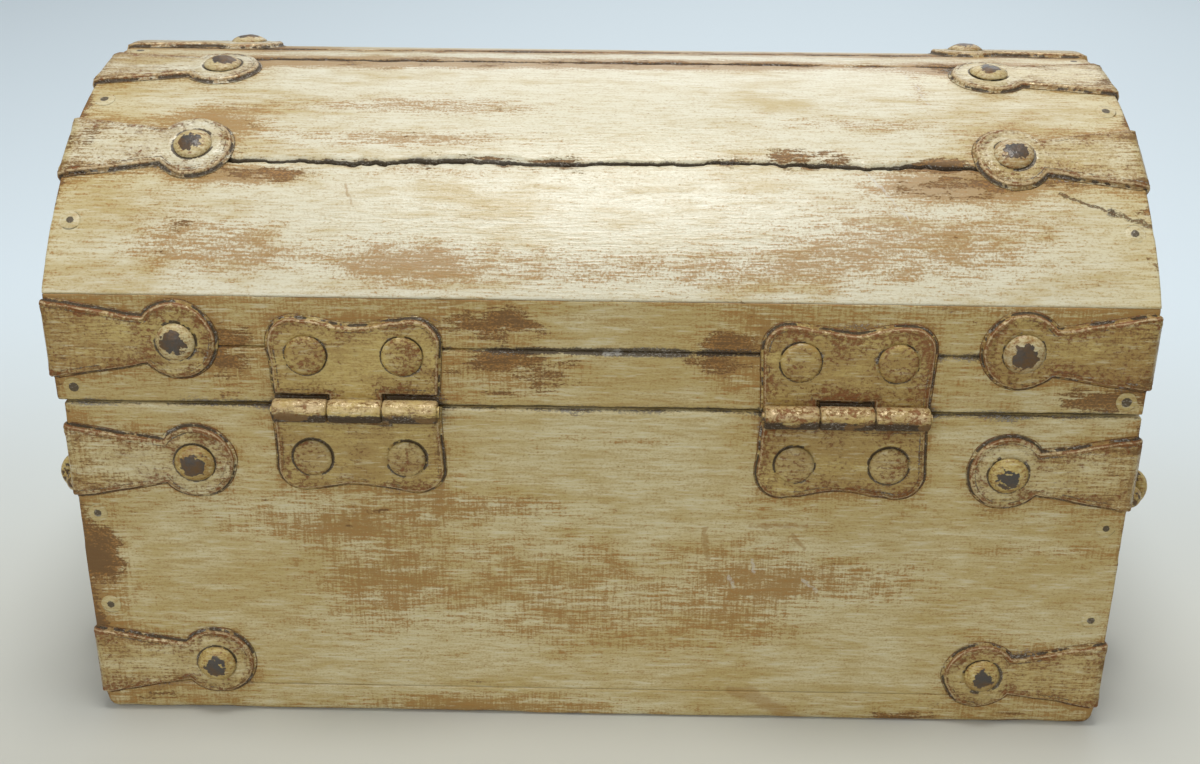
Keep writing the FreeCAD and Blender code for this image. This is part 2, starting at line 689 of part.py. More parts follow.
def make_handles():
    ring_radius = (eye_hole + size("eye_wire")) / 2
    axis_x = half_width + size("eye_standoff")
    for end_name, end in ENDS.items():
        for side_name, side in SIDES.items():
            label = f"handle_eye_{end_name}_{side_name}"
            y = side * eye_y
            ring = doc.addObject("Part::Torus", label + "_ring")
            bind(ring, "Radius1", ring_radius)
            bind(ring, "Radius2", size("eye_wire") / 2)
            place(ring, x=end * axis_x, y=y, z=eye_z, axis=X_AXIS, angle=90)
            ends = sorted((end * (half_width - size("eye_depth")), end * (axis_x - ring_radius)),
                          key=lambda x: x.value)
            shank = lengthwise_cylinder(label + "_shank", size("eye_wire") / 2 * EYE_SHANK_SHARE, *ends)
            bind(shank, "Placement.Base.y", y)
            bind(shank, "Placement.Base.z", eye_z)
            eye = doc.addObject("Part::Fuse", label + "_eye")
            eye.Base = ring
            eye.Tool = shank
            keep(label, eye)
        make_bail(f"{end_name}_bail", end * axis_x)


def make_bail(label, axis_x):
    x = axis_x.value
    top = eye_z.value
    grip = top - size("bail_drop").value
    leg = size("bail_width").value / 2
    bar = size("bail_bar").value / 2
    tail = (eye_y + size("eye_wire") / 2 + size("bail_tail")).value
    turn = size("bail_turn").value
    corner = size("bail_corner").value
    bow = bent_bar([V(x, -tail, top), V(x, -leg, top), V(x, -leg, grip), V(x, leg, grip),
                    V(x, leg, top), V(x, tail, top)], [turn, corner, corner, turn], bar)
    button = (eye_hole / 2 + size("button_over")).value
    buttons = [Part.makeSphere(button, V(x, sign * tail, top)) for sign in (-1, 1)]
    bail = doc.addObject("Part::Feature", label + "_bow")
    bail.Shape = bow.fuse(buttons).removeSplitter()
    keep(label, bail)


# Nails

def make_nail(name, head, rise, shank, length, domed):
    """A pattern nail, its head's underside at the origin and its point down."""
    body = new_body(name)
    sketch = sketch_on(body, "XZ_Plane")
    radius = head / 2
    thin = shank / 2
    point = size("nail_point")
    corners = [(ZERO, -length), (thin, point - length), (thin, ZERO), (radius, ZERO)]
    arcs = {}
    if domed:
        dome = (radius * radius + rise * rise) / (2 * rise)
        lean = arc_sine(radius / dome) / 2
        arcs = {3: (dome, (dome * sine(lean), rise - dome + dome * cosine(lean)))}
        corners.append((ZERO, rise))
    else:
        corners += [(radius, rise), (ZERO, rise)]
    draw_outline(sketch, corners, arcs)
    turned = body.newObject("PartDesign::Revolution", name + "_turned")
    turned.Profile = sketch
    turned.ReferenceAxis = (sketch, ["V_Axis"])
    turned.Angle = 360
    doc.recompute()
    return body.Shape.copy()


def nail_group(label, pattern, spots):
    """Copies of one nail, each at a point of a surface and facing out of it."""
    nails = []
    for point, outward in spots:
        nail = pattern.copy()
        nail.Placement = FreeCAD.Placement(point, FreeCAD.Rotation(Z_AXIS, outward))
        nails.append(nail)
    group = doc.addObject("Part::Feature", label + "_group")
    group.Shape = Part.makeCompound(nails)
    keep(label, group)


def spot_at(x, y, z):
    return V(x.value, y.value, z.value)


def flat_strap_spots(corner_x, end, side, height):
    """Where the two nails of a corner strap stand, and which way they face."""
    face = spot_at(corner_x - end * size("strap_reach"), side * (half_depth + sheet_strap), height)
    cheek = spot_at(corner_x + end * sheet_strap, side * (half_depth - size("strap_end_reach")), height)
    return [(face, side * Y_AXIS), (cheek, end * X_AXIS)]


def dome_spot(x, radius, angle):
    """A point of the dome at this radius and lean, facing out."""
    lean = math.radians(angle.value)
    outward = V(0, math.sin(lean), math.cos(lean))
    return V(x.value, 0, dome_centre.value) + outward * radius.value, outward


def make_nails():
    strap_nail = make_nail("strap_nail", size("nail_head"), size("nail_rise"), size("nail_shank"),
                           size("nail_length"), True)
    plate_nail = make_nail("plate_nail", size("plate_nail_head"), size("plate_nail_rise"), size("nail_shank"),
                           size("nail_length"), False)
    tack = make_nail("tack", size("tack_head"), size("tack_sink"), size("tack_shank"),
                     size("tack_length"), False)
    body_straps = []
    lid_straps = []
    body_tacks = []
    lid_tacks = []
    tack_seat = size("tack_proud") - size("tack_sink")
    edge_inset = wall / 2
    for end in ENDS.values():
        lid_x = lid_ends[end]
        tack_x = end * (half_width - edge_inset)
        lid_tack_x = lid_x - end * edge_inset
        for side in SIDES.values():
            for height in (upper_strap, lower_strap):
                body_straps += flat_strap_spots(end * half_width, end, side, height)
            lid_straps += flat_strap_spots(lid_x, end, side, rim_strap)
            for angle in (outer_strap, ridge_strap):
                lid_straps.append(dome_spot(lid_x - end * size("strap_reach"), dome_radius + sheet_strap,
                                            side * angle))
                cheek, outward = dome_spot(lid_x + end * sheet_strap, dome_radius - size("strap_end_reach"),
                                           side * angle)
                lid_straps.append((cheek, end * X_AXIS))
            wall_y = side * (half_depth + tack_seat)
            for share in WALL_TACK_SHARES:
                body_tacks.append((spot_at(tack_x, wall_y, share * body_top), side * Y_AXIS))
            rim_tack = spot_at(lid_tack_x, wall_y, lid_bottom + size("tack_inset"))
            lid_tacks.append((rim_tack, side * Y_AXIS))
            for angle in ((outer_strap + ridge_strap) / 2, (crease_angle + outer_joint) / 2):
                lid_tacks.append(dome_spot(lid_tack_x, dome_radius + tack_seat, side * angle))
        lid_tacks.append(dome_spot(lid_tack_x, dome_radius + tack_seat, ZERO))
        body_tacks.append((spot_at(tack_x, ZERO, size("tack_sink")), -Z_AXIS))
    for side in SIDES.values():
        for share in FLOOR_TACK_SHARES:
            floor_tack = spot_at(share * half_width, side * (half_depth - edge_inset), size("tack_sink"))
            body_tacks.append((floor_tack, -Z_AXIS))
    nail_group("body_strap_nails", strap_nail, body_straps)
    nail_group("lid_strap_nails", strap_nail, lid_straps)
    nail_group("body_board_nails", tack, body_tacks)
    nail_group("lid_board_nails", tack, lid_tacks)

    plate_y = half_depth + size("leaf_thick")
    lid_plates = []
    body_plates = []
    for sign in (-1, 1):
        for end in ENDS.values():
            x = end * hinge_x + sign * size("hinge_nail_spread") / 2
            lid_plates.append((spot_at(x, plate_y, hinge_axis_z + size("hinge_nail_reach")), Y_AXIS))
            body_plates.append((spot_at(x, plate_y, hinge_axis_z - size("hinge_nail_reach")), Y_AXIS))
        hasp_x = sign * size("hasp_nail_spread") / 2
        lid_plates.append((spot_at(hasp_x, -plate_y, hasp_axis_z + size("hasp_nail_reach")), -Y_AXIS))
        staple_nail = spot_at(ZERO, -plate_y, staple_z + sign * size("plate_nail_spread") / 2)
        body_plates.append((staple_nail, -Y_AXIS))
    nail_group("lid_plate_nails", plate_nail, lid_plates)
    nail_group("body_plate_nails", plate_nail, body_plates)


def check_document():
    for item in doc.Objects:
        faults = [state for state in item.State if state in ("Invalid", "Error")]
        if faults:
            raise RuntimeError(f"{item.Label}: {faults}")
    for label, item in parts.items():
        if item.Shape.isNull() or not item.Shape.isValid() or not item.Shape.Solids:
            raise RuntimeError(f"{label}: no valid solid")


make_body_boards()
make_lid_boards()
make_straps()
make_hinges()
make_hasp()
make_staple()
make_handles()
make_nails()
doc.recompute()
check_document()
print("hasp tongue at rest leans out by", round(tongue_rest_angle().value, 3), "degrees")
print("hinge axis", round(hinge_axis_y.value, 3), round(hinge_axis_z.value, 3))
print("hasp axis", round(hasp_axis_y.value, 3), round(hasp_axis_z.value, 3))

os.makedirs("parts", exist_ok=True)
for label, item in parts.items():
    item.Shape.exportStep(f"parts/{label}.step")
print(len(parts), "parts")
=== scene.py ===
"""Dome top trunk: worn cream paint and hammered iron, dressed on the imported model."""
import json
import math
from functools import cache, reduce

import bpy
import numpy as np
from bpy.props import FloatProperty, FloatVectorProperty, IntProperty, PointerProperty
from mathutils import Euler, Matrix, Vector
from mathutils.geometry import delaunay_2d_cdt


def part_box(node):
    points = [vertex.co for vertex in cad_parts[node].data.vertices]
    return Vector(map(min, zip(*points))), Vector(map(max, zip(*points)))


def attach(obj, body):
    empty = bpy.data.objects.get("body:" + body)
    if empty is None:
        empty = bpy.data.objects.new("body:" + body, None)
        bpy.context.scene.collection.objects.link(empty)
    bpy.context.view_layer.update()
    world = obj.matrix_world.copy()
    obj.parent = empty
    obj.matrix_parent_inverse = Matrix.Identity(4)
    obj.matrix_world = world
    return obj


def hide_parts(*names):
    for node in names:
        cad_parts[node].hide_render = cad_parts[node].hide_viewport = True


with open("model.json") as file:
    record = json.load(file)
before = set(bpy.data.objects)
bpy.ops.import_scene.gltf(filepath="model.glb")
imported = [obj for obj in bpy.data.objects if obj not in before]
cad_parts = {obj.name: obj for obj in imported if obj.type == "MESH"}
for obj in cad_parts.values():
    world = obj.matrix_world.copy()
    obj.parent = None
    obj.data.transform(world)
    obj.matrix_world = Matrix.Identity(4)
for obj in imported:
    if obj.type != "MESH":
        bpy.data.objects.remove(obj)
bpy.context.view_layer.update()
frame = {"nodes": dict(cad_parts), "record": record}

bl_info = {
    "name": "Dome top trunk",
    "version": (1, 0, 0),
    "blender": (4, 5, 0),
    "location": "View3D > Sidebar > Trunk",
    "description": "Dresses the packed dome top trunk in worn cream paint and hammered iron",
    "category": "Object",
}

# Places from the frame. X runs along the trunk, the hinges are at +Y, the hasp is at -Y, +Z is up.

MM = 0.001
SIDES = {"back": 1, "front": -1}
ENDS = {"right": 1, "left": -1}
ALONG = np.array((1.0, 0.0, 0.0))
BODY_OF = {node: body for body, nodes in frame["record"]["behaviour"]["bodies"].items() for node in nodes}
JOINTS = {joint["name"]: joint for joint in frame["record"]["behaviour"]["joints"]}

WALL_LOW, WALL_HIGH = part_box("back_board")
RAIL_LOW, RAIL_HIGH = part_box("lid_back_lower_rail")
RIDGE_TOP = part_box("lid_slat_ridge")[1].z
HALF_WIDTH = WALL_HIGH.x
HALF_DEPTH = WALL_HIGH.y
INNER_DEPTH = WALL_LOW.y
WALL = HALF_DEPTH - INNER_DEPTH
FLOOR_TOP = WALL_LOW.z
BODY_TOP = WALL_HIGH.z
LID_BOTTOM = RAIL_LOW.z
RAIL_JOINT = RAIL_HIGH.z
BODY_END = {1: HALF_WIDTH, -1: -HALF_WIDTH}
LID_END = {1: RAIL_HIGH.x, -1: RAIL_LOW.x}
LID_WIDTH = LID_END[1] - LID_END[-1]
HINGE_Y, HINGE_Z = JOINTS["lid_hinge"]["pos_m"][1:]
HASP_Y, HASP_Z = JOINTS["hasp_swing"]["pos_m"][1:]
HANDLE_X, _, HANDLE_Z = JOINTS["right_handle_swing"]["pos_m"]


def length(name, description, millimetres):
    return FloatProperty(name=name, description=description, default=millimetres * MM, min=0.0,
                         precision=5, unit="LENGTH")


def lean(name, description, degrees):
    return FloatProperty(name=name, description=description, default=math.radians(degrees),
                         subtype="ANGLE", unit="ROTATION")


def colour(name, description, *linear):
    return FloatVectorProperty(name=name, description=description, default=linear, size=3, min=0.0,
                               max=1.0, subtype="COLOR")


class TrunkWood(bpy.types.PropertyGroup):
    """Sizes of the boards and of their wear."""
    grid: length("Grid", "Spacing of the points on a board", 1.7)
    rim: length("Rim", "Underside of the lid up to the crease", 27)
    slat_thick: length("Slat thickness", "Slats along their mitred edges", 6.5)
    slat_gap: length("Slat gap", "Open joint between two slats", 0.5)
    ridge_joint: lean("Ridge joint", "Joint of second and ridge slat, from upright", 4)
    outer_joint: lean("Outer joint", "Joint of first and second slat, from upright", 32.6)
    edge: length("Worn edge", "Rounding of the boards' edges", 0.8)
    foot: length("Worn foot", "Rounding under the floor", 2.2)
    chip: length("Chips", "Deepest chips along the edges", 1.5)
    seed: IntProperty(name="Seed", description="Draw of the chips and dents", default=7, min=0)


class TrunkIron(bpy.types.PropertyGroup):
    """Sizes of the straps, hinges, nails, hasp and handles."""
    sheet: length("Sheet", "Thickness of straps, leaves and plate", 1.2)
    strap_fold: length("Strap fold", "Strap width at its fold", 19)
    strap_neck: length("Strap neck", "Strap width where it meets its disc", 11.2)
    strap_disc: length("Strap disc", "Disc diameter", 18.3)
    strap_reach: length("Strap reach", "Fold to disc centre on the long faces", 30)
    strap_cheek: length("Strap cheek", "Fold to disc centre on the end faces", 24)
    upper_strap: length("Upper straps", "Height of the upper body straps", 72)
    lower_strap: length("Lower straps", "Height of the lower body straps", 15)
    rim_strap: length("Rim straps", "Height of the rim straps", 103.2)
    outer_strap: lean("Outer dome straps", "Lean of the lower dome straps", 30.47)
    ridge_strap: lean("Ridge dome straps", "Lean of the upper dome straps", 8.99)
    nail_head: length("Strap nail", "Domed head, diameter", 9.5)
    nail_rise: length("Strap nail rise", "Height of the domed head", 1.9)
    plate_nail: length("Plate nail", "Flat head, diameter", 9.4)
    plate_nail_rise: length("Plate nail rise", "Height of the flat head", 1.0)
    tack: length("Board nail", "Head diameter of the board nails", 5)
    tack_rise: length("Board nail rise", "Board nails above the wood", 0.3)
    hinge_width: length("Hinge width", "Hinge along its knuckles", 38.4)
    hinge_reach: length("Hinge reach", "Axis to the outer edge of a leaf", 22)
    hinge_x: length("Hinge place", "Middle of the trunk to the middle of a hinge", 57.3)
    hinge_nail_x: length("Hinge nail spread", "Middle of a leaf to its nails", 11.2)
    hinge_nail_z: length("Hinge nail reach", "Axis to the nails of a leaf", 13.2)
    hasp_width: length("Hasp width", "Hasp leaf along its knuckles", 30)
    hasp_reach: length("Hasp reach", "Axis to the upper edge of the hasp leaf", 16)
    hasp_nail_x: length("Hasp nail spread", "Middle of the leaf to its nails", 8)
    hasp_nail_z: length("Hasp nail reach", "Axis to the nails of the hasp leaf", 9.6)
    knuckle: length("Knuckle", "Diameter of the rolled knuckles", 5.6)
    tongue_length: length("Tongue length", "Hasp axis to the tip", 42)
    tongue_width: length("Tongue width", "Tongue at its slot", 17)
    tongue_thick: length("Tongue sheet", "Thickness of the tongue", 1.6)
    tongue_lean: lean("Tongue lean", "Tongue out from hanging, at rest", 21.833)
    staple_z: length("Staple height", "Middle of the staple", 70)
    staple_bar: length("Staple bar", "Bar of the staple", 3)
    staple_spread: length("Staple spread", "Between the legs of the staple", 10)
    staple_reach: length("Staple reach", "Wall to the outside of the staple", 10)
    eye_y: length("Eye place", "Middle of the end to an eye", 47)
    eye_wire: length("Eye bar", "Bar of an eye", 3.2)
    eye_hole: length("Eye hole", "Hole of an eye", 5.8)
    bail_bar: length("Handle bar", "Bar of a handle", 4.6)
    bail_leg: length("Handle leg", "Middle of the end to a leg of the handle", 38)
    bail_drop: length("Handle drop", "Axis to the grip", 32)


class TrunkFinish(bpy.types.PropertyGroup):
    """Colours of the paint, the wood and the iron."""
    pale: colour("Pale cream", "Clean paint of the lid", 0.69, 0.65, 0.495)
    cream: colour("Cream", "Cream paint", 0.62, 0.535, 0.305)
    shade: colour("Cream shade", "Yellowed cream paint", 0.46, 0.337, 0.11)
    glaze: colour("Glaze", "Brown glaze in the brush marks", 0.325, 0.178, 0.042)
    bare: colour("Bare wood", "Wood where the paint is rubbed off", 0.37, 0.172, 0.032)
    dark: colour("Dark wood", "Old brown in the depth of worn places", 0.15, 0.074, 0.02)
    inside: colour("Inside", "Raw wood inside the trunk", 0.37, 0.26, 0.145)
    # The grime colour also paints shade: under the knuckles, behind the hinges and along the seam of body
    # and lid
    grime: colour("Grime", "Dark grime in joints and round the iron", 0.055, 0.035, 0.018)
    chalk: colour("Chalk", "Old filler and dust in the cracks", 0.60, 0.57, 0.50)
    iron_cream: colour("Iron cream", "Paint on the iron", 0.54, 0.41, 0.14)
    iron_shade: colour("Iron shade", "Darkened paint on the iron", 0.34, 0.215, 0.06)
    rust: colour("Rust", "Rust specks", 0.20, 0.062, 0.011)
    # On the knuckles this rubbed-iron colour is also a painted highlight on their upper side
    copper: colour("Rubbed iron", "Warm sheen of rubbed edges and knuckles", 0.60, 0.45, 0.25)
    iron: colour("Iron", "Bare hammered iron", 0.075, 0.066, 0.058)
    # The far floor colour is lighter and bluer than the near one: painted light of a bright backdrop
    floor: colour("Floor", "Pale floor near the trunk", 0.57, 0.57, 0.51)
    distance: colour("Far floor", "Pale floor further off", 0.74, 0.84, 0.90)


# Wear of the seen face: (x, height, half width, half height, rubbed, glazed, grimy) in millimetres
BACK_WEAR = (
    (70, 56, 27, 5, 0.1, 0.5, 0.0),
    (58, 38, 17, 15, 0.0, 0.44, 0.0),
    (11, 36, 40, 19, 0.0, 0.52, 0.0),
    (-3, 79, 20, 2.3, 0.2, 0.4, 0.0),
    (28, 61, 22, 3.8, 0.1, 0.45, 0.0),
    (-38, 38, 17, 16, 0.0, 0.48, 0.0),
    (-64, 41, 22, 7, 0.05, 0.5, 0.0),
    (-109, 51, 16, 2.5, 0.1, 0.4, 0.0),
    (124, 45.5, 7, 7.5, 1.0, 0.3, 0.12),
    (123, 39, 8, 15, 0.0, 0.5, 0.0),
    (127, 26.5, 3.2, 4, 0.85, 0.3, 0.1),
    (85, 99.5, 7, 11, 0.5, 0.5, 0.0),
    (19, 97, 18, 9, 0.52, 0.62, 0.0),
    (23, 109, 12, 3.5, 0.5, 0.4, 0.0),
    (-29, 100.7, 10, 9.2, 0.52, 0.65, 0.0),
    (-116, 91, 10, 2.6, 0.6, 0.2, 0.0),
    (30, 3.5, 36, 3.5, 0.0, 0.5, 0.0),
    (-80, 1.5, 9, 1.8, 0.4, 0.3, 0.0),
    (-104.5, 3.3, 3, 1.2, 0.4, 0.3, 0.0),
)
# Wear of the dome: (x, lean in degrees, half width, half lean, rubbed, glazed, grimy)
DOME_WEAR = (
    (91, 47.2, 22, 4.8, 0.16, 0.62, 0.0),
    (47, 49.1, 17, 4.0, 0.1, 0.5, 0.0),
    (1, 50.2, 60, 3.8, 0.08, 0.46, 0.0),
    (-70, 46, 38, 7, 0.08, 0.58, 0.0),
    (84, 35.7, 13, 1.9, 0.4, 0.8, 0.0),
    (40, 34.5, 26, 1.2, 0.3, 0.4, 0.0),
    (-82, 35.9, 21, 2.6, 0.42, 0.9, 0.0),
    (-47, 30.4, 15, 1.5, 0.42, 0.4, 0.0),
    (-79, 32.2, 5.5, 1.0, 0.8, 0.0, 0.0),
    (-118, 40.3, 1.6, 0.9, 0.2, 0.0, 0.7),
    (42, 20.2, 34, 2.6, 0.1, 0.6, 0.0),
    (50, 28, 30, 1.8, 0.1, 0.58, 0.0),
    (95, 24, 16, 3.5, 0.1, 0.5, 0.0),
    (-60, 24, 22, 2.0, 0.08, 0.5, 0.0),
    (-78, 13.6, 2, 5, 0.05, 0.4, 0.3),
    (45, 4.6, 60, 3.2, 0.32, 1.2, 0.3),
    (-30, 4.2, 30, 2.6, 0.28, 1.0, 0.25),
    (-95, 4.8, 22, 3.6, 0.3, 1.1, 0.3),
)
# Lines on the paint: colour, strength, whether grit breaks them up, height, and each line as
# (from, to, width) in millimetres
LINES = (
    ("glaze", 0.55, False, 0.0, (
        ((-34.0, 77.0, 8.3), (-38.5, 77.0, 7.6), 2.0),
        ((-38.5, 77.0, 7.6), (-52.2, 77.0, -1.0), 2.8),
        ((60.8, 57.1, 135.0), (58.7, 61.0, 131.8), 0.5),
        ((-25.4, 77.0, 55.5), (-26.6, 77.0, 47.0), 0.9),
        ((-47.0, 77.0, 54.0), (-50.0, 77.0, 50.5), 0.8),
        ((-37.0, 77.0, 56.5), (-50.0, 77.0, 56.8), 0.8),
    )),
    ("dark", 0.85, True, -1.2, (
        ((-106.5, 57.2, 134.9), (-118.1, 61.0, 131.8), 0.6),
        ((-118.1, 61.0, 131.8), (-127.3, 63.9, 129.3), 0.9),
    )),
    ("chalk", 0.6, True, 0.0, (
        ((-61.7, 52.3, 138.4), (-71.0, 63.4, 129.8), 0.5),
        ((-76.1, 13.7, 153.2), (-79.8, 29.9, 149.3), 0.4),
        ((-37.4, 77.0, 47.0), (-38.2, 77.0, 43.5), 0.6),
        ((-32.0, 77.0, 42.0), (-33.5, 77.0, 39.0), 0.6),
        ((-50.5, 77.0, 41.5), (-54.0, 77.0, 38.5), 0.6),
        ((-4.0, 77.0, 101.5), (-1.0, 77.0, 101.6), 1.2),
    )),
)
# Marks of grain, brush and age: stretch per millimetre, detail, roughness and shift of their noise
BRUSH_MARKS = {
    "Streaks": ((0.045, 0.32, 0.32), 5.0, 0.62, 0.0),
    "Flecks": ((0.17, 1.8, 1.8), 3.0, 0.65, 40.0),
    "Strokes": ((1.9, 1.9, 0.15), 3.0, 0.6, 80.0),
    "Blotches": ((0.022, 0.045, 0.045), 4.0, 0.58, 120.0),
    "Flakes": ((0.085, 0.20, 0.20), 7.0, 0.6, 200.0),
    "Grit": ((1.5, 2.6, 2.6), 2.0, 0.65, 160.0),
}
PAINT_COLOURS = ("Pale", "Cream", "Shade", "Glaze", "Bare", "Dark", "Grime", "Chalk")
PAINT_WEAR = ("Rubbed", "Glazed", "Grimy", "Clean")
BUMP_DEPTH = 0.3 * MM
# Worn surfaces: depth and span of the waves, then of the dents, in millimetres
BOARD_FACE = (0.5, 26, 0.22, 3.2)
STRAP_FACE = (0.16, 9, 0.14, 2.6)
LEAF_FACE = (0.14, 8, 0.12, 2.2)
BAR_FACE = (0.35, 6, 0.15, 1.8)
# Edge of a plate from outside to its flat, as rings in millimetres: (outwards, 0 from the wood or 1 from the
# top of the sheet, rise, grimy, edge, copper)
NAILED_EDGE = (
    (0.75, 0, 0.02, 0.0, 0.0, 0.0),
    (0.3, 0, 0.1, 0.95, 0.0, 0.0),
    (0.07, 0, 0.2, 1.0, 0.0, 0.0),
    (-0.05, 1, -0.45, 0.45, 0.3, 0.5),
    (-0.35, 1, -0.1, 0.0, 0.2, 0.9),
    (-0.8, 1, 0.06, 0.0, 0.8, 0.3),
    (-1.3, 1, -0.06, 0.55, 0.2, 0.0),
    (-1.9, 1, 0.0, 0.0, 0.0, 0.0),
)
FREE_EDGE = (
    (0.0, 0, 0.0, 0.1, 0.5, 0.4),
    (-0.12, 1, -0.3, 0.1, 0.3, 0.8),
    (-0.4, 1, 0.0, 0.0, 0.7, 0.5),
    (-1.2, 1, 0.0, 0.0, 0.0, 0.0),
)
# Relief of a plate round its nails, in millimetres: (radius, rise, grimy, edge, copper)
NAIL_RELIEF = (
    (4.2, -0.15, 0.8, 0.0, 0.0),
    (5.0, -0.1, 0.8, 0.0, 0.0),
    (5.45, 0.1, 0.2, 0.5, 0.3),
    (6.1, 0.0, 0.0, 0.1, 0.0),
)
DISC_RELIEF = NAIL_RELIEF + ((7.3, -0.12, 0.1, 0.2, 0.0),)
# Each level of straps: how clean its paint is, how rusty it is, and whether it is as creamy as the wood
STRAP_LOOKS = {
    "ridge": (0.42, 0.15, True),
    "outer": (0.42, 0.15, True),
    "rim": (0.0, 0.3, False),
    "upper": (0.05, 0.28, True),
    "lower": (-0.2, 0.28, True),
}
# How rusty each hinge and the hasp with its plate are
HINGE_RUST = {"right": 0.22, "left": 0.33}
HASP_RUST = 0.3
# Heads of each kind of nail
STRAP_NAIL = dict(Flatness=2.6, Wall=0.22, Dent_depth=0.55 * MM, Tilt=0.05, Rub=1.0, Rim_dirt=0.8)
PLATE_NAIL = dict(Flatness=7.0, Wall=0.55, Dent_depth=0.2 * MM, Tilt=0.02, Rub=0.1, Rim_dirt=0.8)
BOARD_NAIL = dict(Flatness=1.6, Wall=0.0, Dent_depth=0.1 * MM, Tilt=0.02, Rub=0.2, Rim_dirt=0.1)
# How clean and how soiled the board nails are
RIM_TACK, WALL_TACK, SLAT_TACK = (-0.35, 0.9), (0.0, 0.4), (0.28, 0.4)
# Middle of the staple's plate to its nails, and how deep eyes and staple are driven into the wood
PLATE_NAIL_Z = 12 * MM
DRIVEN = 7 * MM
# Ragged lines: how many random heights there are before they repeat, and where the line starts among them
KNOTS, FIRST_KNOT = 4096, 1000.0
# Studio: place and size of each light in metres, its power in watts and its tint
LIGHTS = {
    "overhead": ((0.0, 0.10, 1.1), 0.36, 6.0, (1.0, 0.99, 0.97)),
    "window": ((0.45, 1.3, 0.7), 0.9, 6.0, (1.0, 1.0, 1.0)),
    "behind": ((-0.2, -1.2, 1.0), 1.3, 6.2, (0.97, 0.99, 1.0)),
}
LIGHT_AIM = Vector((0.0, 0.0, 0.08))
SKY_COLOUR, SKY_STRENGTH = (0.95, 0.98, 1.0, 1.0), 0.38
FLOOR_HALF = 6.0
# Camera: place in metres, turn in degrees, lens and sensor width in millimetres
CAMERA_PLACE = (-0.0043, 0.3972, 0.2350)
CAMERA_TURN = (66.2607, -0.4662, -178.9846)
CAMERA_LENS, CAMERA_SENSOR = 45.0, 36.0


# Small tools

def wood_sizes():
    return bpy.context.scene.trunk_wood


def iron_sizes():
    return bpy.context.scene.trunk_iron


def fade(away, reach):
    """1 at no distance, falling off over a reach in millimetres."""
    return np.exp(-away / (reach * MM))


def ragged(values, seed, *spans):
    """Smooth random numbers from 0 to 1 along a line, with waves of these spans in millimetres."""
    draw = np.random.default_rng(seed)
    weights = 0.6 ** np.arange(len(spans))
    result = np.zeros_like(values)
    for weight, span in zip(weights, spans):
        knots = draw.random(KNOTS)
        at = values / (span * MM) + FIRST_KNOT
        low = np.floor(at).astype(int)
        share = at - low
        share = share * share * (3 - 2 * share)
        result += weight * (knots[low % KNOTS] * (1 - share) + knots[(low + 1) % KNOTS] * share)
    return result / weights.sum()


def outwards(points, faces):
    """The faces of a closed shell, turned round if they point inwards."""
    volume = 0.0
    for last in range(2, faces.shape[1]):
        one, two, three = (points[faces[:, corner]] for corner in (0, last - 1, last))
        volume += np.sum(one * np.cross(two, three))
    return faces if volume > 0 else faces[:, ::-1]


def new_object(name, data):
    thing = bpy.data.objects.new(name, data)
    bpy.context.scene.collection.objects.link(thing)
    return thing


def add_marks(mesh, marks):
    for label, values in marks.items():
        layer = mesh.attributes.new(label, "FLOAT", "POINT")
        layer.data.foreach_set("value", np.broadcast_to(values, len(mesh.vertices)).astype(np.float32))


def settle(piece, node):
    """Puts a finished piece on the body of the node that it stands for."""
    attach(piece, BODY_OF[node])
    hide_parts(node)


def dress(node, look, parts, material, face, seed, grain=(1.0, 1.0, 1.0)):
    """Stands a worn piece for a node. Its parts are closed shells, each as (points, arrays of faces, marks
    that the finish reads at its points)."""
    name = f"{look}_{node}"
    mesh = bpy.data.meshes.new(name)
    faces = []
    start = 0
    for points, loops, _ in parts:
        for loop in loops:
            faces += (loop + start).tolist()
        start += len(points)
    mesh.from_pydata(np.concatenate([points for points, _, _ in parts]).tolist(), [], faces)
    for label in sorted({label for _, _, marks in parts for label in marks}):
        values = [np.broadcast_to(marks.get(label, 0.0), len(points)) for points, _, marks in parts]
        add_marks(mesh, {label: np.concatenate(values)})
    mesh.materials.append(material)
    piece = new_object(name, mesh)
    sizes = zip(("Wave_depth", "Wave_span", "Dent_depth", "Dent_span"), face)
    grown(piece, worn_surface(), Grain=grain, Seed=float(seed), Material=material,
          **{label: size * MM for label, size in sizes})
    settle(piece, node)


# Node trees

FLOAT, VECTOR, COLOUR = "NodeSocketFloat", "NodeSocketVector", "NodeSocketColor"
GEOMETRY, MATERIAL, INTEGER = "NodeSocketGeometry", "NodeSocketMaterial", "NodeSocketInt"


def add_node(tree, kind, given=None, **settings):
    node = tree.nodes.new(kind)
    for name, value in settings.items():
        setattr(node, name, value)
    for socket, value in (given or {}).items():
        if isinstance(value, bpy.types.NodeSocket):
            tree.links.new(value, node.inputs[socket])
        else:
            node.inputs[socket].default_value = value
    return node


def add_beside(kind, given, **settings):
    """Adds a node to the tree that the sockets among its values are in, and returns its outputs."""
    tree = next(value.id_data for value in given.values() if isinstance(value, bpy.types.NodeSocket))
    return add_node(tree, kind, given, **settings).outputs


def node_group(tree, group, **values):
    return add_node(tree, "ShaderNodeGroup", values, node_tree=group).outputs


def feed(inputs, values):
    """Links sockets to the inputs of these names."""
    for name, value in values.items():
        value.id_data.links.new(value, inputs[name])


def maths(operation, *values):
    return add_beside("ShaderNodeMath", dict(enumerate(values)), operation=operation)[0]


def times(value, factor):
    return maths("MULTIPLY", value, factor)


def times_plus(value, factor, addend):
    return maths("MULTIPLY_ADD", value, factor, addend)


def total(first, *others):
    """Sum of (value, weight) terms."""
    result = times(*first)
    for value, weight in others:
        result = times_plus(value, weight, result)
    return result


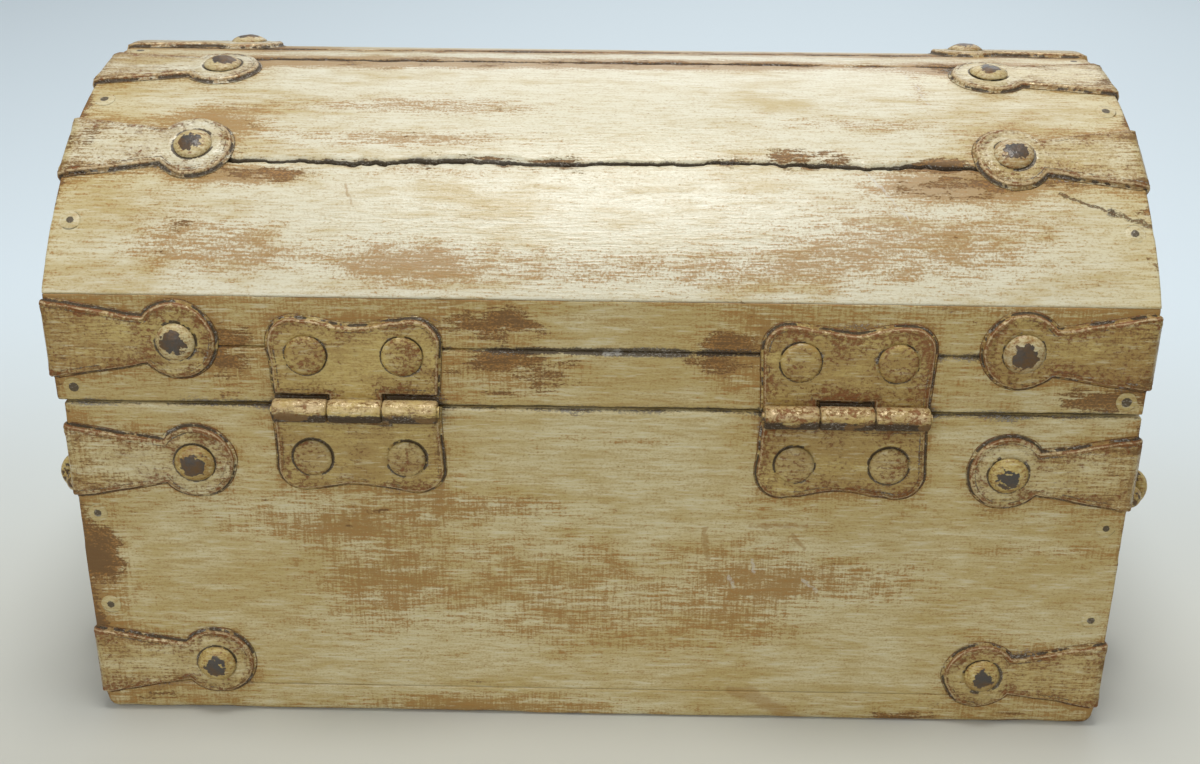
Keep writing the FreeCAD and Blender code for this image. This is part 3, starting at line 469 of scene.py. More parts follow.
def vector(operation, *values, **named):
    given = {**dict(enumerate(values)), **named}
    return add_beside("ShaderNodeVectorMath", given, operation=operation)


def soft_step(value, low, high):
    given = {"Value": value, "From Min": low, "From Max": high}
    return add_beside("ShaderNodeMapRange", given, interpolation_type="SMOOTHSTEP")[0]


def blend(share, first, second):
    return add_beside("ShaderNodeMix", {0: share, 6: first, 7: second}, data_type="RGBA")[2]


def cloud(place, stretch, detail=3.0, roughness=0.55, shift=0.0):
    """Noise over a place that is stretched by these numbers."""
    stretched = vector("MULTIPLY_ADD", place, stretch, (shift, shift, shift))["Vector"]
    given = {"Vector": stretched, "Scale": 1.0, "Detail": detail, "Roughness": roughness}
    return add_beside("ShaderNodeTexNoise", given)[0]


def new_tree(name, kind, inputs, outputs):
    """A node group with these sockets, what it is given and what it gives."""
    tree = bpy.data.node_groups.new(name, kind)
    for sockets, in_out in ((inputs, "INPUT"), (outputs, "OUTPUT")):
        for label, socket_type in sockets.items():
            tree.interface.new_socket(label, in_out=in_out, socket_type=socket_type)
    return tree, tree.nodes.new("NodeGroupInput").outputs, tree.nodes.new("NodeGroupOutput").inputs


# Shader groups

@cache
def brush_marks():
    """Streaks, flecks, strokes across, wide blotches, flakes and grit over a place in millimetres."""
    tree, given, result = new_tree("Brush marks", "ShaderNodeTree", {"Place": VECTOR},
                                   dict.fromkeys(BRUSH_MARKS, FLOAT))
    feed(result, {name: cloud(given["Place"], *noise) for name, noise in BRUSH_MARKS.items()})
    return tree


@cache
def worn_paint():
    """Cream paint, yellowed in blotches, glazed in its brush marks, flaked and grimy."""
    inputs = {"Place": VECTOR, **dict.fromkeys(PAINT_COLOURS, COLOUR), **dict.fromkeys(PAINT_WEAR, FLOAT)}
    tree, given, result = new_tree("Worn paint", "ShaderNodeTree", inputs,
                                   {"Colour": COLOUR, "Roughness": FLOAT, "Height": FLOAT})
    pale, cream, shade, glaze, bare, dark, grime, chalk = (given[name] for name in PAINT_COLOURS)
    rub, glazing, dirt, clean = (given[name] for name in PAINT_WEAR)
    streaks, flecks, strokes, blotches, flakes, grit = node_group(tree, brush_marks(), Place=given["Place"])
    paint = blend(soft_step(total((clean, 1.0), (blotches, 0.6)), 0.35, 0.95), cream, pale)
    yellowed = total((streaks, 0.35), (blotches, 0.4), (flakes, 0.25), (clean, -0.06),
                     (maths("MINIMUM", clean, 0.0), -0.25))
    paint = blend(times(soft_step(yellowed, 0.43, 0.60), 0.8), paint, shade)
    # Fine brush marks, pale glints between them, and pores
    fine = soft_step(total((flecks, 0.6), (grit, 0.4)), 0.45, 0.61)
    tone = blend(times_plus(clean, -0.45, 0.5), shade, glaze)
    paint = blend(times(fine, times_plus(clean, -0.3, 0.6)), paint, tone)
    paint = blend(times(soft_step(flecks, 0.44, 0.32), 0.4), paint, pale)
    paint = blend(times(soft_step(grit, 0.60, 0.74), 0.42), paint, glaze)
    # Brown glaze, brushed on along and across
    brushed = total((glazing, 0.5), (flakes, 0.3), (flecks, 0.7), (strokes, 0.5), (blotches, 0.2),
                    (grit, 0.4))
    glazed = times(soft_step(brushed, 1.19, 1.40), times_plus(clean, -0.15, 0.88))
    stain = blend(soft_step(total((flecks, 0.5), (grit, 0.5)), 0.50, 0.66), glaze, bare)
    paint = blend(glazed, paint, stain)
    # Paint rubbed off, and dark specks
    rubbing = total((rub, 0.5), (flakes, 0.8), (flecks, 0.3), (grit, 0.25))
    rubbed = soft_step(rubbing, 0.88, 0.95)
    deep = soft_step(total((rubbing, 0.6), (grit, 0.5), (flecks, 0.3)), 0.86, 1.06)
    worn = blend(times(rubbed, 0.92), paint, blend(deep, bare, dark))
    worn = blend(times(soft_step(grit, 0.69, 0.78), 0.55), worn, dark)
    # Grime with pale lumps in it, which is also the colour of painted shade where a grimy mark stands for
    # shade
    soil = total((dirt, 1.0), (grit, 0.7), (flakes, 0.9), (streaks, 0.2))
    grimy = times(soft_step(soil, 1.22, 1.46), 0.92)
    lumps = soft_step(total((grit, 0.6), (flakes, 0.4)), 0.53, 0.66)
    rough = total((rubbed, 0.25), (grimy, 0.25), (streaks, 0.15), (glazed, 0.12))
    feed(result, {
        "Colour": blend(grimy, worn, blend(times(lumps, 0.55), grime, chalk)),
        "Roughness": maths("ADD", rough, 0.22),
        "Height": total((flecks, 0.5), (streaks, 0.3), (rubbed, -0.5), (grit, 0.15), (flakes, 0.2),
                        (strokes, 0.12)),
    })
    return tree


@cache
def scored_line():
    """How near a place is to the line between two points: 1 on it and 0 from its width on."""
    inputs = {"Place": VECTOR, "From": VECTOR, "To": VECTOR, "Width": FLOAT}
    tree, given, result = new_tree("Scored line", "ShaderNodeTree", inputs, {"Mask": FLOAT})
    along = vector("SUBTRACT", given["To"], given["From"])["Vector"]
    off = vector("SUBTRACT", given["Place"], given["From"])["Vector"]
    span = vector("DOT_PRODUCT", along, along)["Value"]
    share = maths("DIVIDE", vector("DOT_PRODUCT", off, along)["Value"], span)
    share = add_beside("ShaderNodeClamp", {"Value": share})[0]
    nearest = vector("MULTIPLY_ADD", along, share, given["From"])["Vector"]
    away = vector("DISTANCE", given["Place"], nearest)["Value"]
    feed(result, {"Mask": soft_step(away, given["Width"], times(given["Width"], 0.4))})
    return tree


@cache
def rust_marks():
    """Flecks and stains of rust and the pits of hammered iron, over a place in millimetres."""
    tree, given, result = new_tree("Rust marks", "ShaderNodeTree", {"Place": VECTOR, "Amount": FLOAT},
                                   dict.fromkeys(("Rust", "Stain", "Pits", "Patches"), FLOAT))
    place, amount = given["Place"], given["Amount"]
    fine = cloud(place, (0.8, 1.1, 1.1), 5.0, 0.72, 200.0)
    wide = cloud(place, (0.16, 0.16, 0.16), 4.0, 0.6, 240.0)
    feed(result, {
        "Rust": soft_step(total((fine, 0.85), (wide, 0.4), (amount, 0.35)), 0.79, 0.93),
        "Stain": soft_step(total((wide, 0.8), (fine, 0.3), (amount, 0.3)), 0.56, 0.84),
        "Pits": cloud(place, (0.75, 0.75, 0.75), 2.0, 0.5, 280.0),
        "Patches": wide,
    })
    return tree


# Materials

def new_material(name):
    """A material, its node tree and the inputs of its shader."""
    material = bpy.data.materials.new(name)
    material.use_nodes = True
    return material, material.node_tree, material.node_tree.nodes["Principled BSDF"].inputs


def place_in_mm(tree, turned=False):
    place = add_node(tree, "ShaderNodeTexCoord").outputs["Object"]
    turn = (0.0, 0.0, math.pi / 2 if turned else 0.0)
    given = {"Vector": place, "Scale": (1 / MM, 1 / MM, 1 / MM), "Rotation": turn}
    return add_beside("ShaderNodeMapping", given)[0]


def mark(tree, name):
    return add_node(tree, "ShaderNodeAttribute", attribute_name=name).outputs["Fac"]


def bump(height):
    return add_beside("ShaderNodeBump", {"Height": height, "Strength": 1.0, "Distance": BUMP_DEPTH})[0]


def finish_colour(name):
    return (*getattr(bpy.context.scene.trunk_finish, name), 1.0)


def paint_coat(place, cream, shade, bare, **wear):
    """The worn paint with the trunk's colours, over what lies bare under it."""
    colours = {name: name.lower() for name in PAINT_COLOURS}
    colours.update(Cream=cream, Shade=shade, Bare=bare)
    given = {socket: finish_colour(name) for socket, name in colours.items()}
    return node_group(place.id_data, worn_paint(), Place=place, **given, **wear)


def scored(place, lines):
    """Where any of these (from, to, width) lines runs."""
    masks = [node_group(place.id_data, scored_line(), Place=place, From=start, To=stop, Width=width)["Mask"]
             for start, stop, width in lines]
    return reduce(lambda one, other: maths("MAXIMUM", one, other), masks)


@cache
def painted_wood(turned):
    """Cream paint on wood with its grain along the trunk, or across it when turned. Raw wood inside."""
    material, tree, inputs = new_material("painted_wood_across" if turned else "painted_wood_along")
    place = place_in_mm(tree, turned)
    wear = {name: mark(tree, name.lower()) for name in PAINT_WEAR}
    coat = paint_coat(place, "cream", "shade", "bare", **wear)
    marks = node_group(tree, brush_marks(), Place=place)
    painted, height = coat["Colour"], coat["Height"]
    if not turned:
        noise = add_beside("ShaderNodeTexNoise", {"Vector": place, "Scale": 0.45, "Detail": 3.0})["Color"]
        waver = vector("SUBTRACT", noise, (0.5, 0.5, 0.5))["Vector"]
        near = vector("MULTIPLY_ADD", waver, (2.4, 2.4, 2.4), place)["Vector"]
        gritty = soft_step(marks["Grit"], 0.34, 0.52)
        for name, strength, broken, rise, lines in LINES:
            line = times(scored(near, lines), times(gritty, strength) if broken else strength)
            painted = blend(line, painted, finish_colour(name))
            if rise:
                height = times_plus(line, rise, height)
    grain = soft_step(total((marks["Streaks"], 0.6), (marks["Flecks"], 0.4)), 0.44, 0.66)
    raw = blend(times(marks["Blotches"], 0.5), finish_colour("inside"), finish_colour("bare"))
    raw = blend(times(grain, 0.6), raw, finish_colour("dark"))
    raw_share = soft_step(total((mark(tree, "inside"), 1.0), (marks["Grit"], 0.3)), 0.5, 0.8)
    feed(inputs, {"Base Color": blend(raw_share, painted, raw), "Normal": bump(height),
                  "Roughness": times_plus(raw_share, 0.25, coat["Roughness"])})
    return material


@cache
def painted_iron(rustiness, creamy):
    """Cream paint on sheet iron, rusty in flecks near its edges, with rubbed edges and a grimy outline.
    It is as creamy as the wood or else more ochre."""
    paint, shade = ("cream", "shade") if creamy else ("iron_cream", "iron_shade")
    material, tree, inputs = new_material(f"painted_iron_{paint}_{round(rustiness * 100)}")
    place = place_in_mm(tree)
    near, edge, grime = (mark(tree, name) for name in ("near", "edge", "grimy"))
    patchy = soft_step(cloud(place, (0.16, 0.16, 0.16), 3.0, 0.6, 360.0), 0.36, 0.54)
    coat = paint_coat(place, paint, shade, "dark", Rubbed=total((edge, 0.4), (near, 0.12)),
                      Glazed=total((mark(tree, "glazed"), 1.0), (near, 0.5)),
                      Grimy=times(grime, patchy), Clean=mark(tree, "clean"))
    rust = node_group(tree, rust_marks(), Place=place, Amount=times_plus(near, 0.45, rustiness))
    stained = blend(times(rust["Stain"], 0.45), coat["Colour"], finish_colour("iron_shade"))
    rusty = blend(times(rust["Rust"], 0.9), stained, finish_colour("rust"))
    painted = blend(soft_step(grime, 0.35, 0.8), rusty, coat["Colour"])
    # Sheen of the rubbed-iron colour: the rubbed edges' own colour, and on the knuckles a painted highlight
    sheen = total((mark(tree, "copper"), 1.0), (rust["Patches"], 1.1), (rust["Rust"], -0.3))
    sheen = soft_step(sheen, 0.95, 1.45)
    feed(inputs, {
        "Base Color": blend(sheen, painted, finish_colour("copper")),
        "Metallic": times(sheen, 0.2),
        "Roughness": total((coat["Roughness"], 1.0), (rust["Rust"], 0.3), (sheen, -0.08)),
        "Normal": bump(total((coat["Height"], 0.7), (rust["Pits"], 0.9), (rust["Rust"], -0.3))),
    })
    return material


@cache
def bare_iron(paint):
    """Hammered iron with this much cream paint left on it, worn bare on its crown first."""
    material, tree, inputs = new_material(f"hammered_iron_{round(paint * 100)}")
    place = place_in_mm(tree)
    coat = paint_coat(place, "iron_cream", "iron_shade", "rust", Rubbed=0.05, Glazed=0.35,
                      Grimy=mark(tree, "grimy"), Clean=mark(tree, "clean"))
    rust = node_group(tree, rust_marks(), Place=place, Amount=0.3)
    rusty = blend(times(rust["Rust"], 0.8), coat["Colour"], finish_colour("rust"))
    iron = blend(rust["Stain"], finish_colour("iron"), finish_colour("dark"))
    bared = total((mark(tree, "edge"), 0.45), (rust["Pits"], 0.8), (rust["Patches"], 1.0))
    bared = soft_step(bared, paint + 0.80, paint + 0.88)
    feed(inputs, {
        "Base Color": blend(bared, rusty, iron),
        "Metallic": times(bared, 0.25),
        "Roughness": times_plus(rust["Stain"], 0.2, 0.36),
        "Normal": bump(total((rust["Pits"], 1.0), (bared, -0.4), (coat["Height"], 0.3))),
    })
    return material


# Geometry node trees

def beaten(geometry, material, *knocks):
    """A surface moved along its normals by these (noise, depth) knocks, realized and with its material."""
    tree = geometry.id_data
    moves = [times(maths("SUBTRACT", noise, 0.55), depth) for noise, depth in knocks]
    move = reduce(lambda one, other: maths("ADD", one, other), moves)
    normal = add_node(tree, "GeometryNodeInputNormal").outputs[0]
    offset = vector("SCALE", normal, Scale=move)["Vector"]
    moved = add_beside("GeometryNodeSetPosition", {"Geometry": geometry, "Offset": offset})[0]
    whole = add_beside("GeometryNodeRealizeInstances", {"Geometry": moved})[0]
    return add_beside("GeometryNodeSetMaterial", {"Geometry": whole, "Material": material})[0]


@cache
def worn_surface():
    """Moves a surface in and out by soft waves and small dents, as hand work and knocks leave it."""
    sizes = ("Wave depth", "Wave span", "Dent depth", "Dent span", "Seed")
    inputs = {"Geometry": GEOMETRY, "Grain": VECTOR, **dict.fromkeys(sizes, FLOAT), "Material": MATERIAL}
    tree, given, result = new_tree("Worn surface", "GeometryNodeTree", inputs, {"Geometry": GEOMETRY})
    place = add_node(tree, "GeometryNodeInputPosition").outputs[0]
    place = vector("MULTIPLY", place, given["Grain"])["Vector"]
    knocks = []
    for kind in ("Wave", "Dent"):
        scale = maths("DIVIDE", 1.0, given[f"{kind} span"])
        values = {"Vector": place, "W": given["Seed"], "Scale": scale, "Detail": 2.0}
        noise = add_beside("ShaderNodeTexNoise", values, noise_dimensions="4D")[0]
        knocks.append((noise, given[f"{kind} depth"]))
    feed(result, {"Geometry": beaten(given["Geometry"], given["Material"], *knocks)})
    return tree


@cache
def nail_heads():
    """A hammered nail head on each point, facing along the point's own direction."""
    sizes = ("Head", "Rise", "Flatness", "Wall", "Dent depth", "Tilt", "Rub", "Rim dirt")
    inputs = {"Points": GEOMETRY, **dict.fromkeys(sizes, FLOAT), "Seed": INTEGER, "Material": MATERIAL}
    tree, given, result = new_tree("Nail heads", "GeometryNodeTree", inputs, {"Geometry": GEOMETRY})
    rise, wall, seed = given["Rise"], given["Wall"], given["Seed"]

    def store(geometry, name, value):
        values = {"Geometry": geometry, "Name": name, "Value": value}
        return add_beside("GeometryNodeStoreNamedAttribute", values, data_type="FLOAT", domain="POINT")[0]

    def stored(name, kind="FLOAT"):
        return add_node(tree, "GeometryNodeInputNamedAttribute", {"Name": name}, data_type=kind).outputs[0]

    # A disc whose upper side is raised to a crown over a low wall
    radius = times(given["Head"], 0.5)
    form = {"Vertices": 22, "Side Segments": 2, "Fill Segments": 6, "Radius": radius, "Depth": rise}
    disc = add_beside("GeometryNodeMeshCylinder", form, fill_type="TRIANGLE_FAN")["Mesh"]
    place = add_node(tree, "GeometryNodeInputPosition").outputs[0]
    x, y, z = add_beside("ShaderNodeSeparateXYZ", {0: place})
    out = vector("LENGTH", add_beside("ShaderNodeCombineXYZ", {0: x, 1: y})[0])["Value"]
    crown = maths("SUBTRACT", 1.0, maths("POWER", maths("DIVIDE", out, radius), given["Flatness"]))
    dome = times(times_plus(crown, maths("SUBTRACT", 1.0, wall), wall), rise)
    lifted = maths("ADD", maths("DIVIDE", z, rise), 0.5)
    shaped = add_beside("ShaderNodeCombineXYZ", {0: x, 1: y, 2: times(dome, lifted)})[0]
    head = add_beside("GeometryNodeSetPosition", {"Geometry": disc, "Position": shaped})[0]
    head = store(head, "crown", times(crown, lifted))
    head = store(head, "rim", maths("SUBTRACT", 1.0, lifted))
    # Heads on the points, a little askew and not quite of one size
    span = {"Min": (-1.0, -1.0, -1.0), "Max": (1.0, 1.0, 1.0), "Seed": seed}
    askew = add_beside("FunctionNodeRandomValue", span, data_type="FLOAT_VECTOR")[0]
    sway = vector("SCALE", askew, Scale=given["Tilt"])["Vector"]
    facing = vector("ADD", stored("facing", "FLOAT_VECTOR"), sway)["Vector"]
    turn = add_beside("FunctionNodeAlignRotationToVector", {"Vector": facing}, axis="Z")[0]
    size = add_beside("FunctionNodeRandomValue", {2: 0.95, 3: 1.03, "Seed": seed}, data_type="FLOAT")[1]
    heads = add_beside("GeometryNodeInstanceOnPoints",
                       {"Points": given["Points"], "Instance": head, "Rotation": turn, "Scale": size})[0]
    heads = add_beside("GeometryNodeRealizeInstances", {"Geometry": heads})[0]
    soiled = times(maths("POWER", stored("crown"), 4.0), stored("soil"))
    heads = store(heads, "grimy", times_plus(stored("rim"), given["Rim dirt"], soiled))
    heads = store(heads, "edge", times(stored("crown"), given["Rub"]))
    noise = add_beside("ShaderNodeTexNoise", {"Vector": place, "Scale": 320.0, "Detail": 1.0})[0]
    feed(result, {"Geometry": beaten(heads, given["Material"], (noise, given["Dent depth"]))})
    return tree


def grown(piece, tree, **values):
    """Runs a tree on a piece and keeps the result as the piece's plain mesh."""
    modifier = piece.modifiers.new(tree.name, "NODES")
    modifier.node_group = tree
    sockets = {item.name: item.identifier for item in tree.interface.items_tree if item.in_out == "INPUT"}
    for label, value in values.items():
        modifier[sockets[label.replace("_", " ")]] = value
    piece.update_tag()
    graph = bpy.context.evaluated_depsgraph_get()
    graph.update()
    mesh = bpy.data.meshes.new_from_object(piece.evaluated_get(graph), preserve_all_data_layers=True,
                                           depsgraph=graph)
    piece.modifiers.remove(modifier)
    old = piece.data
    piece.data = mesh
    bpy.data.meshes.remove(old)
    mesh.shade_smooth()


# Boards

def grid_lines(span, rounding, step):
    """Even lines over a span, with finer ones where its edges are rounded."""
    corner = rounding * np.array((0.0, 0.22, 0.5, 0.78))
    count = max(2, round((span - 2 * rounding) / step) + 1)
    return np.concatenate([corner, np.linspace(rounding, span - rounding, count), (span - corner)[::-1]])


def box_skin(counts):
    """Grid cells on the outside of a box, and the faces between them."""
    index = np.full(counts, -1)
    cells = np.indices(counts)
    tops = np.array(counts).reshape(3, 1, 1, 1) - 1
    outer = ((cells == 0) | (cells == tops)).any(axis=0)
    index[outer] = np.arange(outer.sum())
    faces = []
    for axis in range(3):
        for last in (0, counts[axis] - 1):
            sheet = np.take(index, last, axis=axis)
            loops = np.stack([sheet[:-1, :-1], sheet[1:, :-1], sheet[1:, 1:], sheet[:-1, 1:]], axis=-1)
            loops = loops.reshape(-1, 4)
            faces.append(loops[:, ::-1] if (last == 0) != (axis == 1) else loops)
    return np.argwhere(outer), np.concatenate(faces)


def dressed_board(node, spans, where, wear, chips, seed, rounding=None, turned=False, along=1.0,
                  worn=(1.0, 1.0, 1.0, 1.0)):
    """A worn board. spans are its size along the grain, across it and through it from inside to outside;
    where places a point of it in the trunk. chips and worn say how chipped and how rounded its four long
    edges are, in the order low inner, low outer, high inner, high outer."""
    wood = wood_sizes()
    rounding = rounding or wood.edge
    widest = min(rounding + wood.chip, 0.48 * spans[2])
    steps = (wood.grid * along, wood.grid, wood.grid)
    lines = [grid_lines(span, widest, step) for span, step in zip(spans, steps)]
    cells, faces = box_skin([len(line) for line in lines])
    flat = np.column_stack([line[cells[:, axis]] for axis, line in enumerate(lines)])
    spans = np.array(spans)
    inner = np.minimum(flat, spans - flat)
    high, outer = (flat[:, axis] > spans[axis] / 2 for axis in (1, 2))
    draw = wood.seed + 31 * seed
    radius, chipped = np.zeros((2, len(flat)))
    for corner, (amount, round_share) in enumerate(zip(chips, worn)):
        here = (high == (corner >= 2)) & (outer == (corner % 2 == 1))
        at = flat[here, 0]
        notch = np.clip((ragged(at, draw + corner, 17, 6, 2.4) - 0.5) / 0.35, 0, 1)
        chipped[here] = amount * (notch + 0.25 * ragged(at, draw + corner + 7, 3, 1.4))
        soft = 0.55 + 0.6 * ragged(at, draw + corner + 11, 45, 12)
        radius[here] = rounding * soft * round_share + wood.chip * chipped[here]
    end_wear = 0.5 + 0.8 * ragged(flat[:, 1] + flat[:, 2], draw + 5, 9, 3)
    radius = np.where(inner[:, 0] < widest, np.minimum(radius, rounding * end_wear), radius)
    radius = np.minimum(radius, widest)[:, None]
    core = np.clip(flat, radius, spans - radius)
    past = flat - core
    reach = np.linalg.norm(past, axis=1, keepdims=True)
    rounded = core + past * np.minimum(1.0, radius / np.maximum(reach, 1e-9))
    points = where(*rounded.T)
    marks = wear(points, flat, spans)
    marks["rubbed"] = marks["rubbed"] + fade(np.sort(inner, axis=1)[:, 1], 1.1) * (0.1 + 0.4 * chipped)
    aside = np.clip(inner[:, :2].min(axis=1) / (1.5 * MM), 0, 1)
    marks["inside"] = np.clip(1 - flat[:, 2] / (0.35 * spans[2]), 0, 1) * aside
    grain = (1.0, 0.25, 1.0) if turned else (0.25, 1.0, 1.0)
    dress(node, "worn", [(points, [outwards(points, faces)], marks)], painted_wood(turned),
          BOARD_FACE, seed, grain)


def patch_marks(across, up, patches):
    """How rubbed, glazed and grimy each place of a face is, from the patches on it."""
    marks = np.zeros((3, len(across)))
    for x, z, half_x, half_z, *amounts in patches:
        strength = np.exp(-np.abs((across - x) / half_x) ** 2.4 - np.abs((up - z) / half_z) ** 2.4)
        marks += np.outer(amounts, strength)
    return marks


def strap_distance(across, up, heights, end_x):
    """Distance from the straps at these heights, for places on a long face or on the dome laid flat."""
    iron = iron_sizes()
    nearest = np.full(len(across), 1.0)
    for height in heights:
        for end in ENDS.values():
            inwards = (end_x[end] - across) * end
            leg = np.clip(inwards / iron.strap_reach, 0, 1)
            half = (iron.strap_fold * (1 - leg) + iron.strap_neck * leg) / 2
            beside = np.abs(up - height) - half + 1e3 * (inwards > iron.strap_reach)
            round_disc = np.hypot(inwards - iron.strap_reach, up - height) - iron.strap_disc / 2
            nearest = np.minimum(nearest, np.minimum(beside, round_disc))
    return np.clip(nearest, 0, None)


def long_face_wear(side, clean=0.0):
    """Wear of the back, or of the front as its half turn, with grime round the iron and at the seams,
    painted shade as well along the seam of body and lid, and painted shade behind the hinge knuckles.
    """
    iron = iron_sizes()

    def wear(points, flat, spans):
        x, y, up = points.T
        across = x * side
        rubbed, glazed, grimy = patch_marks(across / MM, up / MM, BACK_WEAR)
        lid = up > (BODY_TOP + LID_BOTTOM) / 2
        away = np.where(lid, strap_distance(x, up, (iron.rim_strap,), LID_END),
                        strap_distance(x, up, (iron.upper_strap, iron.lower_strap), BODY_END))
        if side > 0:
            off_hinge = np.abs(np.abs(x) - iron.hinge_x) - iron.hinge_width / 2
            over_hinge = np.abs(up - HINGE_Z) - iron.hinge_reach
            away = np.minimum(away, np.clip(np.maximum(off_hinge, over_hinge), 0, None))
            # Painted shade: the wood behind each hinge's knuckles, across its width, painted dark as the
            # shade in the slots
            grimy = grimy + 0.9 * ((off_hinge < -MM) & (np.abs(up - HINGE_Z) < 6 * MM))
        close, around = fade(away, 1.6), fade(away, 7)
        foot, under = fade(up, 3), fade(up, 0.8)
        paler = 0.35 * np.clip(-across / (90 * MM), 0, 1) * lid
        # Darker along the seam of body and lid: grime in the joint, and painted shade of the gap under the
        # lid
        lip = fade(np.abs(up - BODY_TOP), 1.6) + fade(np.abs(up - LID_BOTTOM), 1.2)
        filled = np.clip(1.8 * ragged(across, 71, 40, 11, 3) - 0.25, 0.25, 1)
        filled = filled * (0.7 + 0.3 * np.exp(-(across / (60 * MM)) ** 2))
        rail_seam = np.exp(-(np.abs(up - RAIL_JOINT) / (1.3 * MM)) ** 2) * filled
        crease = fade(np.abs(up - LID_BOTTOM - wood_sizes().rim), 2.2)
        ends = fade(HALF_WIDTH - np.abs(across), 3)
        outside = np.abs(y) > HALF_DEPTH - 0.9 * MM
        grime_and_shade = grimy + 0.3 * close + 0.3 * lip + 0.85 * rail_seam + 0.1 * crease + 0.35 * under
        return {"rubbed": rubbed + 0.12 * foot + 0.24 * ends + 0.1 * around,
                "glazed": glazed + 0.3 * around + 0.3 * close + 0.4 * foot + 0.35 * ends + 0.5 * crease,
                "grimy": np.where(outside, grime_and_shade, 0.3),
                "clean": clean + paler - 0.2 * around}
    return wear


def plain_wear(amount):
    """Wear of the end boards, which are away from the seen side: rubbed a little and glazed unevenly."""
    def wear(points, flat, spans):
        foot = fade(points[:, 2], 4)
        glazed = 0.7 * ragged(points[:, 1] + 0.3 * points[:, 2], 91, 40, 13)
        return {"rubbed": amount + 0.2 * foot, "glazed": glazed, "grimy": 0.1 * foot}
    return wear


def dome():
    """Radius of the dome, height of its axis, and lean of its crease."""
    rise = RIDGE_TOP - LID_BOTTOM - wood_sizes().rim
    radius = (HALF_DEPTH ** 2 + rise ** 2) / (2 * rise)
    return radius, RIDGE_TOP - radius, math.asin(HALF_DEPTH / radius)


def dome_out(lean_angle):
    """Direction out of the dome at a lean from upright."""
    return np.stack([0.0 * lean_angle, np.sin(lean_angle), np.cos(lean_angle)], axis=-1)


def joint_wander(x, joint):
    """How far a joint of the slats wanders off its line at these places, as an angle."""
    widest = (2.6 if abs(joint) > wood_sizes().ridge_joint * 1.5 else 1.1) * MM
    seed = 1000 + round(100 * joint)
    steps = np.round(5 * ragged(x, seed + 500, 6, 2)) / 5
    return (ragged(x, seed, 24, 7, 2.5) - 0.5 + 0.5 * (steps - 0.5)) * widest / dome()[0]


def joint_gap(x, joint):
    """How far a slat's edge stands back from the line of its joint, as an angle."""
    wood = wood_sizes()
    widest = wood.slat_gap * (1.5 if abs(joint) > wood.ridge_joint * 1.5 else 0.6)
    return widest * (0.35 + 1.3 * ragged(x, 1700 + round(100 * joint), 13, 4)) / dome()[0]


def slat_wear(points, flat, spans):
    """Wear of the dome, with dark ragged joints and grime round the straps."""
    wood, iron = wood_sizes(), iron_sizes()
    radius, centre, crease = dome()
    x, y, z = points.T
    lean_angle = np.arctan2(y, z - centre)
    side = np.where(lean_angle < 0, -1, 1)
    rubbed, glazed, grimy = patch_marks(x * side / MM, np.degrees(np.abs(lean_angle)), DOME_WEAR)
    crack, stain = np.zeros((2, len(points)))
    for joint, dirt, width in ((wood.ridge_joint, 0.5, 0.7 * MM), (wood.outer_joint, 0.6, 0.9 * MM)):
        for sign in SIDES.values():
            line = sign * joint + joint_wander(x, sign * joint)
            away = np.abs(lean_angle - line) * radius
            crack = np.maximum(crack, dirt * np.exp(-(away / width) ** 2))
            stain = np.maximum(stain, fade(away, 3.5))
    stain *= ragged(x * side, 57, 34, 9)
    heights = [sign * angle * radius for sign in (-1, 1) for angle in (iron.outer_strap, iron.ridge_strap)]
    away = strap_distance(x, lean_angle * radius, heights, LID_END)
    close, around = fade(away, 1.6), fade(away, 8)
    off_end = LID_END[1] - np.abs(x)
    ends = fade(off_end, 4)
    yellower = 0.4 * fade(off_end, 22) + 0.25 * around + 0.2 * stain
    on_end = np.minimum(flat[:, 0], spans[0] - flat[:, 0]) <= 0.5 * MM
    below = (flat[:, 2] < spans[2] - 0.9 * MM) & ~on_end
    at_crease = np.abs(lean_angle) > crease - math.radians(3)
    return {"rubbed": rubbed + 0.28 * stain + 0.2 * ends + 0.15 * around,
            "glazed": glazed + 0.4 * stain + 0.3 * around + 0.3 * close + 0.35 * ends,
            "grimy": grimy + crack + 0.25 * close + below * np.where(at_crease, 0.25, 0.65),
            "clean": 0.62 - yellower}


